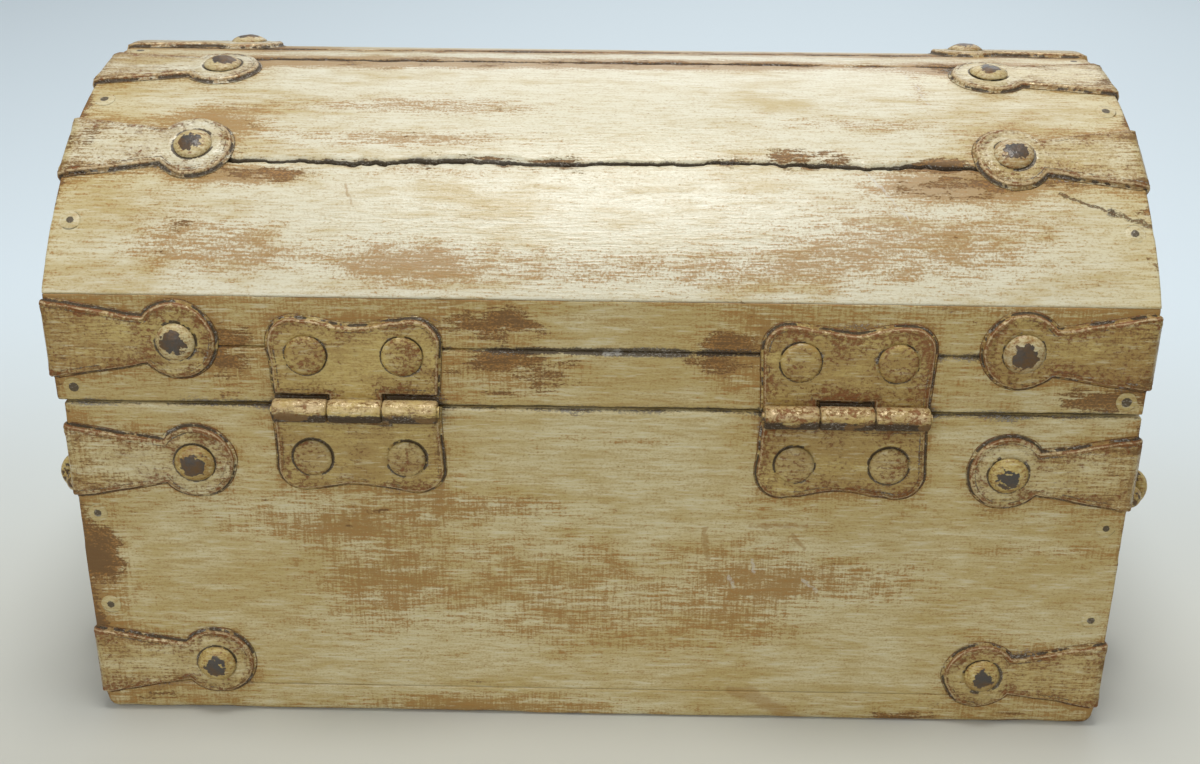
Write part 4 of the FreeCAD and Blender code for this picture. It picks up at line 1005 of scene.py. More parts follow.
class TRUNK_OT_body_boards(bpy.types.Operator):
    """Boards of the trunk's body"""
    bl_idname = "trunk.body_boards"
    bl_label = "Body boards"

    def execute(self, context):
        foot = context.scene.trunk_wood.foot
        tall = BODY_TOP - FLOOR_TOP
        for seed, (name, side) in enumerate(SIDES.items()):
            def long_wall(x, z, out):
                return np.column_stack([x - HALF_WIDTH, side * (INNER_DEPTH + out), FLOOR_TOP + z])
            dressed_board(f"{name}_board", (2 * HALF_WIDTH, tall, WALL), long_wall, long_face_wear(side),
                          (0.1, 0.0, 0.3, 0.6), seed, worn=(1.0, 0.25, 1.0, 1.0))
        for seed, (name, end) in enumerate(ENDS.items()):
            def end_wall(y, z, out):
                return np.column_stack([end * (HALF_WIDTH - WALL + out), y - INNER_DEPTH, FLOOR_TOP + z])
            dressed_board(f"{name}_end_board", (2 * INNER_DEPTH, tall, WALL), end_wall, plain_wear(0.05),
                          (0.1, 0.1, 0.3, 0.5), seed + 4, turned=True)

        def floor(x, y, out):
            into_corner = np.clip((np.abs(x - HALF_WIDTH) - HALF_WIDTH + 2 * foot) / (2 * foot), 0, 1)
            lowest = 2 * foot * (1 - np.sqrt(1 - 0.98 * into_corner ** 2))
            return np.column_stack([x - HALF_WIDTH, y - HALF_DEPTH, np.maximum(FLOOR_TOP - out, lowest)])
        dressed_board("bottom_board", (2 * HALF_WIDTH, 2 * HALF_DEPTH, FLOOR_TOP), floor, long_face_wear(1),
                      (0.0, 0.5, 0.0, 0.5), 8, rounding=foot * 0.7, worn=(0.15, 1.0, 0.15, 1.0))
        return {"FINISHED"}


class TRUNK_OT_lid_boards(bpy.types.Operator):
    """Rails and ends of the lid"""
    bl_idname = "trunk.lid_boards"
    bl_label = "Lid rails and ends"

    def execute(self, context):
        wood = context.scene.trunk_wood
        radius, centre, crease_lean = dome()
        low_tall = RAIL_JOINT - LID_BOTTOM
        high_tall = wood.rim - low_tall
        bevel = WALL / math.tan(crease_lean)
        for seed, (name, side) in enumerate(SIDES.items()):
            def lower_rail(x, z, out):
                return np.column_stack([LID_END[-1] + x, side * (INNER_DEPTH + out), LID_BOTTOM + z])

            def upper_rail(x, z, out):
                up = RAIL_JOINT + z * (1 - bevel / high_tall * (1 - out / WALL))
                return np.column_stack([LID_END[-1] + x, side * (INNER_DEPTH + out), up])
            wear = long_face_wear(side, -0.35)
            dressed_board(f"lid_{name}_lower_rail", (LID_WIDTH, low_tall, WALL), lower_rail, wear,
                          (0.2, 0.5, 0.1, 0.35), 10 + seed)
            dressed_board(f"lid_{name}_upper_rail", (LID_WIDTH, high_tall, WALL), upper_rail, wear,
                          (0.1, 0.3, 0.1, 0.12), 12 + seed, worn=(1.0, 1.0, 1.0, 0.4))
        knees = np.array((-crease_lean, -wood.outer_joint, -wood.ridge_joint, wood.ridge_joint,
                          wood.outer_joint, crease_lean))
        _, knee_y, knee_z = (radius - wood.slat_thick) * dome_out(knees).T
        knee_z = knee_z + centre - LID_BOTTOM
        tall = knee_z.max()
        for seed, (name, end) in enumerate(ENDS.items()):
            def lid_end(y, z, out):
                top = np.interp(y - INNER_DEPTH, knee_y, knee_z)
                return np.column_stack([LID_END[end] - end * (WALL - out), y - INNER_DEPTH,
                                        LID_BOTTOM + z * top / tall])
            dressed_board(f"lid_{name}_end", (2 * INNER_DEPTH, tall, WALL), lid_end, plain_wear(0.08),
                          (0.2, 0.4, 0.1, 0.2), 14 + seed, turned=True)
        return {"FINISHED"}


class TRUNK_OT_slats(bpy.types.Operator):
    """Slats of the dome, with ragged joints"""
    bl_idname = "trunk.slats"
    bl_label = "Dome slats"

    def execute(self, context):
        wood = context.scene.trunk_wood
        thick, outer, ridge = wood.slat_thick, wood.outer_joint, wood.ridge_joint
        radius, centre, crease = dome()
        groove = 1.6 * MM  # the joints stand open this deep, and nearly closed below
        lip = WALL / math.sin(crease) - thick  # the outer slats reach down to the rails' inner edge
        crisp = 0.4  # the crease is rounded less than the other edges
        slats = {
            "back_outer": (outer, crease, (0.1, 1.0, 0.1, 0.1), (1.0, 1.0, 1.0, crisp)),
            "back_inner": (ridge, outer, (0.1, 0.6, 0.1, 1.0), (1.0, 1.0, 1.0, 1.0)),
            "ridge": (-ridge, ridge, (0.1, 0.6, 0.1, 0.6), (1.0, 1.0, 1.0, 1.0)),
            "front_inner": (-outer, -ridge, (0.1, 1.0, 0.1, 0.6), (1.0, 1.0, 1.0, 1.0)),
            "front_outer": (-crease, -outer, (0.1, 0.1, 0.1, 1.0), (1.0, crisp, 1.0, 1.0)),
        }
        for seed, (name, (low, high, chips, worn)) in enumerate(slats.items()):
            middle = (low + high) / 2
            seat = (radius - thick) * math.cos((high - low) / 2)
            across = (high - low) * radius

            def slat_edge(x, out, joint, inwards):
                if abs(joint) == crease:
                    return joint
                opened = np.clip((out - thick + groove) / groove, 0.08, 1)
                return joint + joint_wander(LID_END[-1] + x, joint) + inwards * opened * joint_gap(x, joint)

            def slat(x, w, out):
                start = slat_edge(x, out, low, 1)
                angle = start + (slat_edge(x, out, high, -1) - start) * w / across
                inner = seat / np.cos(angle - middle)
                inner -= lip * np.clip(1 - (crease - np.abs(angle)) * radius / (2.5 * MM), 0, 1)
                reach = inner + (radius - inner) * out / thick
                return np.column_stack([LID_END[-1] + x, reach * np.sin(angle),
                                        centre + reach * np.cos(angle)])
            dressed_board(f"lid_slat_{name}", (LID_WIDTH, across, thick), slat, slat_wear, chips, 20 + seed,
                          rounding=wood.edge * 0.8, along=0.42, worn=worn)
        return {"FINISHED"}


# Sheet iron

def offset_outline(outline, distance):
    """A closed outline, anticlockwise, moved outwards by this distance."""
    ahead = np.roll(outline, -1, axis=0) - outline
    ahead /= np.linalg.norm(ahead, axis=1, keepdims=True)
    normal = np.column_stack([ahead[:, 1], -ahead[:, 0]])
    before = np.roll(normal, 1, axis=0)
    turn = 1 + np.sum(normal * before, axis=1, keepdims=True)
    return outline + distance * (normal + before) / np.maximum(turn, 0.45)


def within(points, outline):
    """Which points lie inside a closed outline."""
    inside = np.zeros(len(points), bool)
    x, y = points.T
    for (x1, y1), (x2, y2) in zip(outline, np.roll(outline, -1, axis=0)):
        with np.errstate(divide="ignore", invalid="ignore"):
            at = x1 + (y - y1) * (x2 - x1) / (y2 - y1)
        inside ^= ((y1 > y) != (y2 > y)) & (x < at)
    return inside


def dense(corners, step, closed=True):
    """An outline or path with points no further apart than a step in millimetres."""
    corners = np.array(corners)
    stops = np.roll(corners, -1, axis=0)
    runs = len(corners) if closed else len(corners) - 1
    result = []
    for start, stop in zip(corners[:runs], stops):
        count = max(1, math.ceil(np.linalg.norm(stop - start) / (step * MM)))
        result += [start + (stop - start) * share / count for share in range(count)]
    return np.array(result if closed else result + [corners[-1]])


def arc(radius, start, stop, count):
    """Points on a circle round the middle, between two angles."""
    turn = np.linspace(start, stop, count)
    return radius * np.column_stack([np.cos(turn), np.sin(turn)])


def sheet_skin(outline, edge_rings, thick, surface, relief=(), holes=(), two_sided=False):
    """A closed plate over a flat outline, as a part. relief is round nails as (centre, rings), and surface
    places (across, up, height) in the trunk."""
    spacing = 1.9 * MM
    edge_rings = [(away * MM, top * thick + rise * MM, *marks) for away, top, rise, *marks in edge_rings]
    last, top, *plain = edge_rings[-1]
    points, table, edges = [], [], []

    def add_loop(loop, row):
        first = len(table)
        count = len(loop)
        points.append(loop)
        table.extend([row] * count)
        edges.extend((first + i, first + (i + 1) % count) for i in range(count))

    for away, *row in edge_rings:
        add_loop(offset_outline(outline, away), row)
        for hole in holes:
            add_loop(offset_outline(hole, -away), row)
    shared = len(outline) + sum(len(hole) for hole in holes)  # the points of the first rings
    inner = offset_outline(outline, last - 0.45 * spacing)
    low, high = inner.min(axis=0), inner.max(axis=0)
    lines = [np.arange(low[axis] + spacing / 2, high[axis], spacing) for axis in (0, 1)]
    grid = np.stack(np.meshgrid(*lines), axis=-1).reshape(-1, 2)
    keep = within(grid, inner)
    for hole in holes:
        keep &= ~within(grid, offset_outline(hole, 0.45 * spacing - last))
    for centre, rings in relief:
        keep &= np.linalg.norm(grid - centre, axis=1) > max(ring[0] for ring in rings) * MM + 0.4 * spacing
        for radius, rise, *marks in rings:
            add_loop(centre + arc(radius * MM, 0, 2 * math.pi, 27)[:-1], (top + rise * MM, *marks))
        points.append(np.array([centre]))
        table.append((top, *plain))
    points.append(grid[keep])
    table += [(top, *plain)] * int(keep.sum())
    flat = [Vector(point / MM) for point in np.concatenate(points)]
    spots, _, triangles, origin, _, _ = delaunay_2d_cdt(flat, edges, [], 1, 1e-7)
    spots = np.array([tuple(spot) for spot in spots]) * MM
    source = np.array([ids[0] if ids else len(table) - 1 for ids in origin])
    rows = np.array(table, float)[source]
    faces = np.array(triangles)
    for hole in holes:
        faces = faces[~within(spots[faces].mean(axis=1), offset_outline(hole, -edge_rings[0][0]))]
    # The underside shares the rim's points and has its own for the rest
    body = source >= shared
    under = np.where(body, np.cumsum(body) - 1 + len(spots), np.arange(len(spots)))
    faces = np.concatenate([faces, under[faces][:, ::-1]])
    all_spots = np.concatenate([spots, spots[body]])
    heights = np.concatenate([rows[:, 0], -rows[body, 0] if two_sided else np.zeros(body.sum())])
    placed = surface(*all_spots.T, heights)
    near = fade(np.linalg.norm(spots[:, None] - outline[None], axis=2).min(axis=1), 3.0)
    marks = np.column_stack([rows[:, 1:], near])
    marks = np.concatenate([marks, marks[body]])
    used, faces = np.unique(outwards(placed, faces), return_inverse=True)
    marks = dict(zip(("grimy", "edge", "copper", "near"), marks[used].T))
    return placed[used], [faces.reshape(-1, 3)], marks


def wandering(outline, seed, depth, *spans):
    """An outline moved in and out by hand, at most by half a depth in millimetres."""
    wander = ragged(np.arange(len(outline)) * 1.4 * MM, seed, *spans) - 0.5
    return offset_outline(outline, (wander * depth * MM)[:, None])


def strap_outline(iron, long_stop, cheek_stop):
    """The strap laid flat: two keyhole legs that meet at the fold, with its long leg towards +."""
    fold = iron.strap_fold / 2
    shoulder = math.asin(iron.strap_neck / iron.strap_disc)
    disc = arc(iron.strap_disc / 2, shoulder - math.pi, math.pi - shoulder, 34)
    return dense([(0.0, -fold), *(disc + (long_stop, 0.0)), (0.0, fold), *(-disc - (cheek_stop, 0.0))], 1.6)


def strap_surface(iron, corner, out_of, end, down, tilt):
    """Places a flat strap on a corner. corner(b) and out_of(b) are the corner's line and the outward
    direction of the long face at b across the strap, down is the way along the end face."""
    bend = 0.8 * MM
    fold = math.pi / 2 * (bend + iron.sheet / 2)
    end_out = end * ALONG

    def surface(s, b, h):
        b = b + tilt * s
        base, out = corner(b), out_of(b)
        s, h = s[:, None], h[:, None]
        on_long = base - end_out * (s - fold / 2 + bend) + h * out
        on_cheek = base + down * (-s - fold / 2 + bend) + h * end_out
        turn = (0.5 - s / fold) * math.pi / 2
        turned = np.cos(turn) * out + np.sin(turn) * end_out
        round_fold = base - bend * (out + end_out) + (bend + h) * turned
        return np.where(s > fold / 2, on_long, np.where(s < -fold / 2, on_cheek, round_fold))

    return surface, iron.strap_reach - bend + fold / 2, iron.strap_cheek - bend + fold / 2


def flat_corner(end_x, side, height):
    def corner(b):
        return np.column_stack([np.full_like(b, end_x), np.full_like(b, side * HALF_DEPTH), height + b])

    def out_of(b):
        return np.tile((0.0, side, 0.0), (len(b), 1))
    return corner, out_of, np.array((0.0, -side, 0.0))


def dome_corner(end_x, angle):
    radius, centre, _ = dome()

    def out_of(b):
        return dome_out(angle + b / radius)

    def corner(b):
        return np.array((end_x, 0.0, centre)) + radius * out_of(b)
    return corner, out_of, -dome_out(angle)


def all_straps(iron):
    """Each strap's node and the corner that it is folded round."""
    straps = {}
    for side_name, side in SIDES.items():
        for end_name, end in ENDS.items():
            tail = f"{side_name}_{end_name}"
            straps[f"body_strap_upper_{tail}"] = (end, flat_corner(BODY_END[end], side, iron.upper_strap))
            straps[f"body_strap_lower_{tail}"] = (end, flat_corner(BODY_END[end], side, iron.lower_strap))
            straps[f"lid_strap_rim_{tail}"] = (end, flat_corner(LID_END[end], side, iron.rim_strap))
            straps[f"lid_strap_outer_{tail}"] = (end, dome_corner(LID_END[end], side * iron.outer_strap))
            straps[f"lid_strap_ridge_{tail}"] = (end, dome_corner(LID_END[end], side * iron.ridge_strap))
    return straps


class TRUNK_OT_straps(bpy.types.Operator):
    """Keyhole straps folded round the corners"""
    bl_idname = "trunk.straps"
    bl_label = "Corner straps"

    def execute(self, context):
        iron = context.scene.trunk_iron
        draw = np.random.default_rng(context.scene.trunk_wood.seed)
        for seed, (node, (end, (corner, out_of, down))) in enumerate(all_straps(iron).items()):
            tilt = draw.uniform(-0.012, 0.012)
            surface, long_stop, cheek_stop = strap_surface(iron, corner, out_of, end, down, tilt)
            outline = wandering(strap_outline(iron, long_stop, cheek_stop), 300 + seed, 1.1, 12, 5, 2.5)
            relief = [((long_stop, 0.0), DISC_RELIEF), ((-cheek_stop, 0.0), DISC_RELIEF)]
            points, faces, marks = sheet_skin(outline, NAILED_EDGE, iron.sheet, surface, relief)
            off = points - corner(np.zeros(1))
            past_end = off @ (end * ALONG)
            to_fold = np.linalg.norm(off, axis=1)
            off_fold = np.minimum(np.abs(past_end), np.abs(off @ down))
            rubbed = (to_fold < iron.strap_fold) & (np.abs(past_end) < 6 * MM)
            fold = np.exp(-(off_fold / (2.0 * MM)) ** 2) * rubbed
            clean, rustiness, creamy = STRAP_LOOKS[node.split("_")[2]]
            marks["edge"] = np.maximum(marks["edge"], 0.75 * fold)
            marks["glazed"] = 0.5 * fade(to_fold, 14)
            marks["clean"] = np.where(past_end > -0.2 * MM, min(clean, 0.0), clean + 0.12 * end)
            material = painted_iron(rustiness, creamy)
            dress(node, "hammered", [(points, faces, marks)], material, STRAP_FACE, seed)
        return {"FINISHED"}


# Bars and knuckles

def bar_skin(path, radius, closed=False, sides=16):
    """Points and faces of a round bar along a path, its ends closed."""
    path = np.asarray(path, float)
    count = len(path)
    ahead = np.roll(path, -1, axis=0) - np.roll(path, 1, axis=0)
    if not closed:
        ahead[0] = path[1] - path[0]
        ahead[-1] = path[-1] - path[-2]
    ahead /= np.linalg.norm(ahead, axis=1, keepdims=True)
    beside = np.cross(ahead[0], (0.0, 0.0, 1.0) if abs(ahead[0, 2]) < 0.9 else (0.0, 1.0, 0.0))
    turn = np.linspace(0, 2 * math.pi, sides, endpoint=False)
    rings = []
    for centre, direction, reach in zip(path, ahead, np.broadcast_to(radius, count)):
        beside = beside - direction * np.dot(beside, direction)
        beside /= np.linalg.norm(beside)
        above = np.cross(direction, beside)
        rings.append(centre + reach * (np.outer(np.cos(turn), beside) + np.outer(np.sin(turn), above)))
    index = np.arange(count * sides).reshape(count, sides)
    beyond = np.roll(index, -1, axis=1)
    rows = count if closed else count - 1
    corners = (index, beyond, np.roll(beyond, -1, axis=0), np.roll(index, -1, axis=0))
    quads = np.stack([corner[:rows] for corner in corners], axis=-1).reshape(-1, 4)
    points = np.concatenate(rings)
    if closed:
        return points, [outwards(points, quads)]
    points = np.concatenate([points, path[:1], path[-1:]])
    loops = [quads, np.column_stack([index[0], np.full(sides, count * sides), beyond[0]]),
             np.column_stack([index[-1], beyond[-1], np.full(sides, count * sides + 1)])]
    if outwards(points, quads) is not quads:
        loops = [loop[:, ::-1] for loop in loops]
    return points, loops


def barrel(low, high, y, z, side):
    """A rolled knuckle along X as a part, rubbed, with a painted copper highlight on its upper side and
    painted shade on its under side.
    """
    radius = iron_sizes().knuckle / 2
    ease, crown, sides = 0.35 * MM, 0.05 * MM, 26
    count = max(3, round((high - low) / (1.2 * MM)))
    along = np.concatenate([[low], np.linspace(low + ease, high - ease, count), [high]])
    reach = np.full(count + 2, radius)
    reach[[1, -2]] -= crown
    reach[[0, -1]] -= ease
    path = np.column_stack([along, np.full_like(along, y), np.full_like(along, z)])
    points, loops = bar_skin(path, reach, sides=sides)
    out = (points[:sides] - path[0]) / reach[0]
    # Painted light: shade is how far each side of the knuckle faces down; it paints the under side dark and
    # grimy as shade, and the upper side copper as a highlight
    shade = np.clip(1.4 * (out @ np.array((0.0, 0.1 * side, -0.99))) + 0.3, 0, 1)
    rings = {"grimy": 1.2 * shade, "edge": 0.5 + 1.5 * shade, "copper": 0.66 - 0.9 * shade}
    middles = {"grimy": 0.3, "edge": 0.2, "copper": 0.1}
    marks = {label: np.append(np.tile(ring, count + 2), [middles[label]] * 2)
             for label, ring in rings.items()}
    # The end rings are darker all round
    marks["grimy"][:sides] = marks["grimy"][-sides - 2:-2] = 0.6
    return points, loops, {**marks, "near": 0.5}


def leaf_outline(half, wide, reach, corner, dip, near, far, step):
    """Outline of a hinge leaf: knuckle side at the axis, rounded ears and a hollow between them."""
    flat = wide - corner
    right = [(step, near), (step, far), (half, far), (wide, reach - corner)]
    right += [tuple(point) for point in (flat, reach - corner) + arc(corner, 0, math.pi / 2, 9)[1:]]
    for x in np.linspace(flat, 0, 9)[1:-1]:
        right.append((x, reach - dip * (0.5 + 0.5 * math.cos(math.pi * x / flat))))
    middle = [(0.0, reach - dip)] if dip else []
    return dense(right + middle + [(-x, z) for x, z in reversed(right)], 1.5)


def dressed_leaf(node, x, y, z, up, side, own_middle, shape, rustiness, seed):
    """A hinge leaf: a worn plate on the wood and its rolled knuckles."""
    iron = iron_sizes()
    width, reach, corner, dip, flare, knuckle, nail_x, nail_z = shape
    gap = 0.15 * MM
    clear = iron.knuckle / 2 + 0.4 * MM
    half = width / 2
    step = half - knuckle + (-gap if own_middle else gap)
    near, far = (0.0, clear) if own_middle else (clear, 0.0)
    outline = leaf_outline(half, half + flare, reach, corner, dip, near, far, step)
    outline = wandering(outline, 500 + seed, 0.8, 10, 4)
    outline[:, 1] = np.maximum(outline[:, 1], 0.0)

    def surface(a, b, h):
        return np.column_stack([x + a, side * (HALF_DEPTH + h), z + up * np.maximum(b, 0.0)])
    relief = [((sign * nail_x, nail_z), NAIL_RELIEF) for sign in (-1, 1)]
    parts = [sheet_skin(outline, NAILED_EDGE, iron.sheet, surface, relief)]
    for low, high in [(-step, step)] if own_middle else [(-half, -step), (step, half)]:
        parts.append(barrel(x + low, x + high, y, z, side))
    dress(node, "worn", parts, painted_iron(rustiness, False), LEAF_FACE, seed)


def finish_pin(node):
    """The pin stays the solid's own shape and gets its finish."""
    for slot in frame["nodes"][node].material_slots:
        slot.material = bare_iron(0.1)


class TRUNK_OT_hinges(bpy.types.Operator):
    """The two surface hinges of the lid"""
    bl_idname = "trunk.hinges"
    bl_label = "Hinges"

    def execute(self, context):
        iron = context.scene.trunk_iron
        corner, dip, flare = 6 * MM, 1.8 * MM, 0.6 * MM
        shape = (iron.hinge_width, iron.hinge_reach, corner, dip, flare, iron.hinge_width / 3,
                 iron.hinge_nail_x, iron.hinge_nail_z)
        for seed, (name, end) in enumerate(ENDS.items()):
            for up, level in ((1, "upper"), (-1, "lower")):
                dressed_leaf(f"hinge_{level}_leaf_{name}", end * iron.hinge_x, HINGE_Y, HINGE_Z, up, 1,
                             end == up, shape, HINGE_RUST[name], 40 + 2 * seed + up)
            finish_pin(f"hinge_pin_{name}")
        return {"FINISHED"}


def bent_path(corners, turns):
    """Points along straight runs joined by arcs of these radii at the middle of the bar."""
    step = 1.3
    corners = np.array(corners, float)
    points = [corners[0]]
    for before, corner, after, turn in zip(corners, corners[1:], corners[2:], turns):
        into = (corner - before) / np.linalg.norm(corner - before)
        onto = (after - corner) / np.linalg.norm(after - corner)
        bend = math.acos(np.clip(into @ onto, -1, 1))
        inward = (onto - into * (into @ onto)) / math.sin(bend)
        centre = corner - into * turn * math.tan(bend / 2) + turn * inward
        count = max(4, math.ceil(turn * bend / (step * MM)))
        for sweep in np.linspace(0, bend, count + 1):
            points.append(centre - turn * inward * math.cos(sweep) + turn * into * math.sin(sweep))
    points.append(corners[-1])
    return dense(points, step, closed=False)


def ball(centre, radius):
    """An upset bar end: a closed ball of rings along Y."""
    turn = np.linspace(0, math.pi, 11)
    path = centre - np.outer(radius * np.cos(turn), (0.0, 1.0, 0.0))
    return bar_skin(path, np.maximum(radius * np.sin(turn), 0.02 * MM))


def forge(node, seed, paint, *bars):
    """Stands a forged piece for a node, made of bars as (skin, grimy, edge)."""
    parts = [(*skin, {"grimy": grimy, "edge": edge}) for skin, grimy, edge in bars]
    dress(node, "forged", parts, bare_iron(paint), BAR_FACE, seed)


class TRUNK_OT_handles(bpy.types.Operator):
    """Drop handles and their eyes on the ends"""
    bl_idname = "trunk.handles"
    bl_label = "Handles"

    def execute(self, context):
        iron = context.scene.trunk_iron
        ring = (iron.eye_hole + iron.eye_wire) / 2
        tail = iron.eye_y + iron.eye_wire / 2 + 3 * MM
        button = iron.eye_hole / 2 + 0.2 * MM
        turns = (4 * MM, 11 * MM, 11 * MM, 4 * MM)  # radii of the bends at the middle of the bar
        bail = [(-tail, 0.0), (-iron.bail_leg, 0.0), (-iron.bail_leg, -iron.bail_drop),
                (iron.bail_leg, -iron.bail_drop), (iron.bail_leg, 0.0), (tail, 0.0)]
        for end_name, end in ENDS.items():
            axis_x = end * HANDLE_X
            for side_name, side in SIDES.items():
                y = side * iron.eye_y
                loop = arc(ring, 0, 2 * math.pi, 31)[:-1] @ np.eye(3)[[0, 2]]
                loop = np.array((axis_x, y, HANDLE_Z)) + loop
                root, tip = end * (HALF_WIDTH - DRIVEN), axis_x - end * ring
                shank = dense([(root, y, HANDLE_Z), (tip, y, HANDLE_Z)], 1.2, closed=False)
                forge(f"handle_eye_{end_name}_{side_name}", 60 + end + 2 * side, 0.3,
                      (bar_skin(loop, iron.eye_wire / 2, closed=True), 0.0, 0.3),
                      (bar_skin(shank, 0.92 * iron.eye_wire / 2), 0.35, 0.0))
            path = bent_path([(axis_x, y, HANDLE_Z + drop) for y, drop in bail], turns)
            tips = [np.array((axis_x, sign * tail, HANDLE_Z)) for sign in (-1, 1)]
            forge(f"{end_name}_bail", 70 + end, 0.36, (bar_skin(path, iron.bail_bar / 2), 0.0, 0.3),
                  *((ball(tip, button), 0.1, 0.4) for tip in tips))
        return {"FINISHED"}


class TRUNK_OT_hasp(bpy.types.Operator):
    """Hasp with its leaf and tongue, and the staple on its plate"""
    bl_idname = "trunk.hasp"
    bl_label = "Hasp and staple"

    def execute(self, context):
        iron = context.scene.trunk_iron
        knuckle, corner = 8 * MM, 4 * MM
        shape = (iron.hasp_width, iron.hasp_reach, corner, 0.0, 0.0, knuckle, iron.hasp_nail_x,
                 iron.hasp_nail_z)
        dressed_leaf("hasp_leaf", 0.0, HASP_Y, HASP_Z, 1, -1, False, shape, HASP_RUST, 80)
        finish_pin("hasp_pin")
        self.make_tongue(iron, iron.hasp_width / 2 - knuckle - 0.15 * MM)
        self.make_plate(iron)
        bar = iron.staple_bar / 2
        nose = bar - HALF_DEPTH - iron.staple_reach
        root = DRIVEN - HALF_DEPTH
        high, low = (iron.staple_z + sign * iron.staple_spread / 2 for sign in (1, -1))
        corners = [(0, root, high), (0, nose, high), (0, nose, low), (0, root, low)]
        path = bent_path(corners, (3 * MM, 3 * MM))
        forge("hasp_staple", 84, 0.25, (bar_skin(path, bar), 0.0, 0.4))
        return {"FINISHED"}

    def make_tongue(self, iron, half_knuckle):
        half = iron.tongue_width / 2
        top = iron.knuckle * 0.38
        shoulder = 9 * MM
        straight = half - iron.tongue_length
        tip = -arc(half, 0, math.pi, 19)[1:-1] + (0.0, straight)
        outline = [(half_knuckle, -top), (-half_knuckle, -top), (-half, -shoulder), (-half, straight), *tip,
                   (half, straight), (half, -shoulder)]
        slot = iron.staple_bar / 2 + 1.5 * MM
        middle = iron.staple_z - HASP_Z
        reach = (iron.staple_spread + iron.staple_bar) / 2 + 2.5 * MM - slot
        slot_end = arc(slot, 0, math.pi, 11)
        hole = [*(slot_end + (0.0, middle + reach)), *(-slot_end + (0.0, middle - reach))]
        lean_sin, lean_cos = math.sin(iron.tongue_lean), math.cos(iron.tongue_lean)
        axis = np.array((0.0, HASP_Y, HASP_Z))

        def surface(a, b, h):
            along = np.outer(b, (0.0, lean_sin, lean_cos)) + np.outer(h, (0.0, -lean_cos, lean_sin))
            return axis + np.outer(a, ALONG) + along
        plate = sheet_skin(dense(outline, 1.5), FREE_EDGE, iron.tongue_thick / 2, surface,
                           holes=[dense(hole, 1.5)], two_sided=True)
        knuckle = barrel(-half_knuckle, half_knuckle, HASP_Y, HASP_Z, -1)
        material = painted_iron(HASP_RUST, False)
        dress("hasp_tongue", "worn", [plate, knuckle], material, LEAF_FACE, 82)

    def make_plate(self, iron):
        low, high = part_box("staple_plate")
        corner = 3 * MM
        half, tall = (high.x - low.x) / 2 - corner, (high.z - low.z) / 2 - corner
        outline = []
        for quarter, centre in enumerate(((half, tall), (-half, tall), (-half, -tall), (half, -tall))):
            start = quarter * math.pi / 2
            outline += [*(arc(corner, start, start + math.pi / 2, 7) + centre)]

        def surface(a, b, h):
            return np.column_stack([a, -HALF_DEPTH - h, iron.staple_z + b])
        relief = [((0.0, sign * PLATE_NAIL_Z), NAIL_RELIEF) for sign in (-1, 1)]
        plate = sheet_skin(dense(outline, 1.5), NAILED_EDGE, iron.sheet, surface, relief)
        material = painted_iron(HASP_RUST, False)
        dress("staple_plate", "worn", [plate], material, LEAF_FACE, 86)


# Nails

def nail_piece(node, spots, material, glazed, **values):
    """Nail heads on these (point, facing, clean, soil) spots, as one piece."""
    name = node.replace("nails", "nail_heads")
    points, facings, clean, soil = zip(*spots)
    mesh = bpy.data.meshes.new(name)
    mesh.from_pydata([tuple(point) for point in points], [], [])
    layer = mesh.attributes.new("facing", "FLOAT_VECTOR", "POINT")
    layer.data.foreach_set("vector", np.array(facings, np.float32).ravel())
    add_marks(mesh, {"clean": clean, "soil": soil, "glazed": glazed})
    piece = new_object(name, mesh)
    grown(piece, nail_heads(), Material=material, **values)
    settle(piece, node)


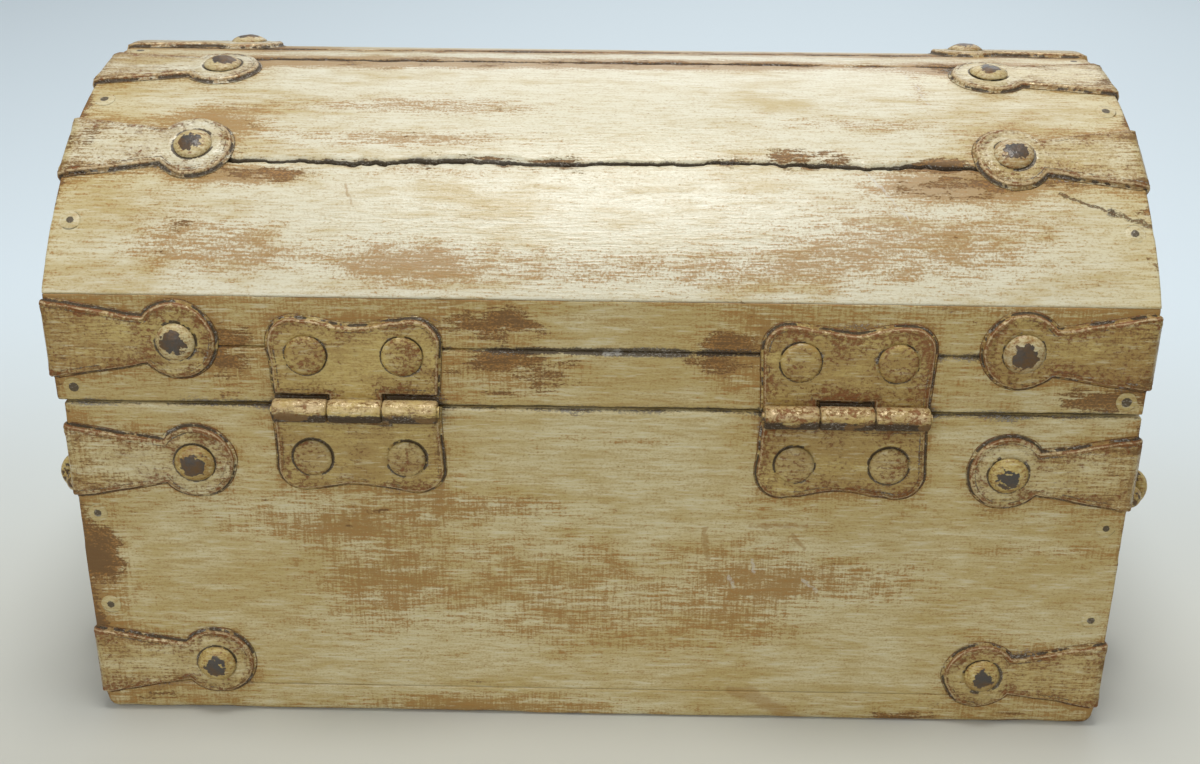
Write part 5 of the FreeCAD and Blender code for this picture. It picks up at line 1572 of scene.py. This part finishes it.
class TRUNK_OT_nails(bpy.types.Operator):
    """Nail heads of the straps, plates and boards"""
    bl_idname = "trunk.nails"
    bl_label = "Nails"

    def execute(self, context):
        iron = context.scene.trunk_iron
        kinds = {
            "strap": (self.strap_spots(iron), bare_iron(0.5), 0.0, iron.nail_head, iron.nail_rise,
                      STRAP_NAIL),
            "plate": (self.plate_spots(iron), painted_iron(0.5, False), 0.0, iron.plate_nail,
                      iron.plate_nail_rise, PLATE_NAIL),
            "board": (self.board_spots(iron), painted_wood(False), 0.15, iron.tack, iron.tack_rise,
                      BOARD_NAIL),
        }
        seed = 0
        for kind, (spots, material, glazed, head, rise, shape) in kinds.items():
            for carrier, places in spots.items():
                nail_piece(f"{carrier}_{kind}_nails", places, material, glazed, Head=head, Rise=rise,
                           Seed=seed, **shape)
                seed += 1
        return {"FINISHED"}

    def strap_spots(self, iron):
        spots = {"body": [], "lid": []}
        clean = {"body": 0.0, "lid": 0.3}
        middle = np.zeros(1)
        bed = iron.sheet * 0.9
        for node, (end, (corner, out_of, down)) in all_straps(iron).items():
            carrier = node.split("_")[0]
            base, out, end_out = corner(middle)[0], out_of(middle)[0], end * ALONG
            looks = (clean[carrier], 0.0)
            spots[carrier] += [(base - end_out * iron.strap_reach + out * bed, out, *looks),
                               (base + down * iron.strap_cheek + end_out * bed, end_out, *looks)]
        return spots

    def plate_spots(self, iron):
        spots = {"body": [], "lid": []}
        top = HALF_DEPTH + iron.sheet * 0.95
        back = np.array((0.0, 1.0, 0.0))
        for sign in (-1, 1):
            for end in ENDS.values():
                x = end * iron.hinge_x + sign * iron.hinge_nail_x
                spots["lid"].append(((x, top, HINGE_Z + iron.hinge_nail_z), back, -0.05, 0.0))
                spots["body"].append(((x, top, HINGE_Z - iron.hinge_nail_z), back, 0.15, 0.0))
            hasp_x, hasp_z = sign * iron.hasp_nail_x, HASP_Z + iron.hasp_nail_z
            spots["lid"].append(((hasp_x, -top, hasp_z), -back, -0.05, 0.0))
            spots["body"].append(((0.0, -top, iron.staple_z + sign * PLATE_NAIL_Z), -back, 0.15, 0.0))
        return spots

    def board_spots(self, iron):
        wood = wood_sizes()
        body, lid = [], []
        inset = WALL / 2
        up = np.array((0.0, 0.0, 1.0))
        radius, centre, crease = dome()
        leans = ((iron.outer_strap + iron.ridge_strap) / 2, (crease + wood.outer_joint) / 2)
        for end in ENDS.values():
            x = end * (HALF_WIDTH - inset)
            lid_x = LID_END[end] - end * inset
            for side in SIDES.values():
                out = np.array((0.0, side, 0.0))
                for share in (0.36, 0.66):
                    body.append(((x, side * HALF_DEPTH, share * BODY_TOP), out, *WALL_TACK))
                lid.append(((lid_x, side * HALF_DEPTH, LID_BOTTOM + 3.6 * MM), out, *RIM_TACK))
                for facing in (dome_out(side * angle) for angle in leans):
                    lid.append((np.array((lid_x, 0.0, centre)) + radius * facing, facing, *SLAT_TACK))
            lid.append(((lid_x, 0.0, RIDGE_TOP), up, *SLAT_TACK))
            body.append(((x, 0.0, iron.tack_rise), -up, *WALL_TACK))
        for side in SIDES.values():
            for share in (-0.7, 0.0, 0.7):
                place = (share * HALF_WIDTH, side * (HALF_DEPTH - inset), iron.tack_rise)
                body.append((place, -up, *WALL_TACK))
        return {"body": body, "lid": lid}


# Stage

class TRUNK_OT_stage(bpy.types.Operator):
    """Pale floor, soft studio light and the camera"""
    bl_idname = "trunk.stage"
    bl_label = "Stage"

    def execute(self, context):
        scene = context.scene
        self.make_floor()
        for name, (place, size, power, tint) in LIGHTS.items():
            lamp = bpy.data.lights.new(name, "AREA")
            lamp.shape = "DISK"
            lamp.size = size
            lamp.energy = power
            lamp.color = tint
            light = new_object(name, lamp)
            light.location = place
            light.rotation_euler = (LIGHT_AIM - light.location).to_track_quat("-Z", "Y").to_euler()
        world = bpy.data.worlds.new("soft_room")
        world.use_nodes = True
        sky = world.node_tree.nodes["Background"].inputs
        sky["Color"].default_value = SKY_COLOUR
        sky["Strength"].default_value = SKY_STRENGTH
        scene.world = world
        scene.view_settings.view_transform = "Standard"
        view = bpy.data.cameras.new("photo_view")
        view.lens = CAMERA_LENS
        view.sensor_width = CAMERA_SENSOR
        view.sensor_fit = "HORIZONTAL"
        view.clip_start = 0.01
        camera = new_object("photo_view", view)
        camera.location = CAMERA_PLACE
        camera.rotation_euler = Euler([math.radians(angle) for angle in CAMERA_TURN])
        scene.camera = camera
        return {"FINISHED"}

    def make_floor(self):
        mesh = bpy.data.meshes.new("floor")
        corners = ((-1, -1), (1, -1), (1, 1), (-1, 1))
        mesh.from_pydata([(x * FLOOR_HALF, y * FLOOR_HALF, 0) for x, y in corners], [], [(0, 1, 2, 3)])
        material, tree, inputs = new_material("pale_floor")
        place = place_in_mm(tree)
        soft = cloud(place, (0.006, 0.006, 0.006), 3.0)
        depth = add_beside("ShaderNodeSeparateXYZ", {0: place})["Y"]
        # Painted light: the floor turns from the near colour to the lighter, bluer far colour behind the
        # trunk
        far = soft_step(times_plus(soft, 60.0, depth), 150.0, -230.0)
        feed(inputs, {"Base Color": blend(far, finish_colour("floor"), finish_colour("distance"))})
        inputs["Roughness"].default_value = 0.55
        mesh.materials.append(material)
        new_object("floor", mesh)


class TRUNK_PT_panel(bpy.types.Panel):
    """Sizes, colours and makers of the trunk"""
    bl_idname = "TRUNK_PT_panel"
    bl_label = "Dome top trunk"
    bl_space_type = "VIEW_3D"
    bl_region_type = "UI"
    bl_category = "Trunk"

    def draw(self, context):
        for group in ("trunk_wood", "trunk_iron", "trunk_finish"):
            box = self.layout.box()
            values = getattr(context.scene, group)
            for name in values.__annotations__:
                box.prop(values, name)
        for operator in MAKERS:
            self.layout.operator(operator.bl_idname)


MAKERS = (TRUNK_OT_body_boards, TRUNK_OT_lid_boards, TRUNK_OT_slats, TRUNK_OT_straps, TRUNK_OT_hinges,
          TRUNK_OT_hasp, TRUNK_OT_handles, TRUNK_OT_nails, TRUNK_OT_stage)
GROUPS = {"trunk_wood": TrunkWood, "trunk_iron": TrunkIron, "trunk_finish": TrunkFinish}


def register():
    for kind in (*GROUPS.values(), *MAKERS, TRUNK_PT_panel):
        bpy.utils.register_class(kind)
    for name, kind in GROUPS.items():
        setattr(bpy.types.Scene, name, PointerProperty(type=kind))


def unregister():
    for name in GROUPS:
        delattr(bpy.types.Scene, name)
    for kind in reversed((*GROUPS.values(), *MAKERS, TRUNK_PT_panel)):
        bpy.utils.unregister_class(kind)


def main():
    register()
    for maker in MAKERS:
        group, name = maker.bl_idname.split(".")
        getattr(getattr(bpy.ops, group), name)()


if __name__ == "__main__":
    main()
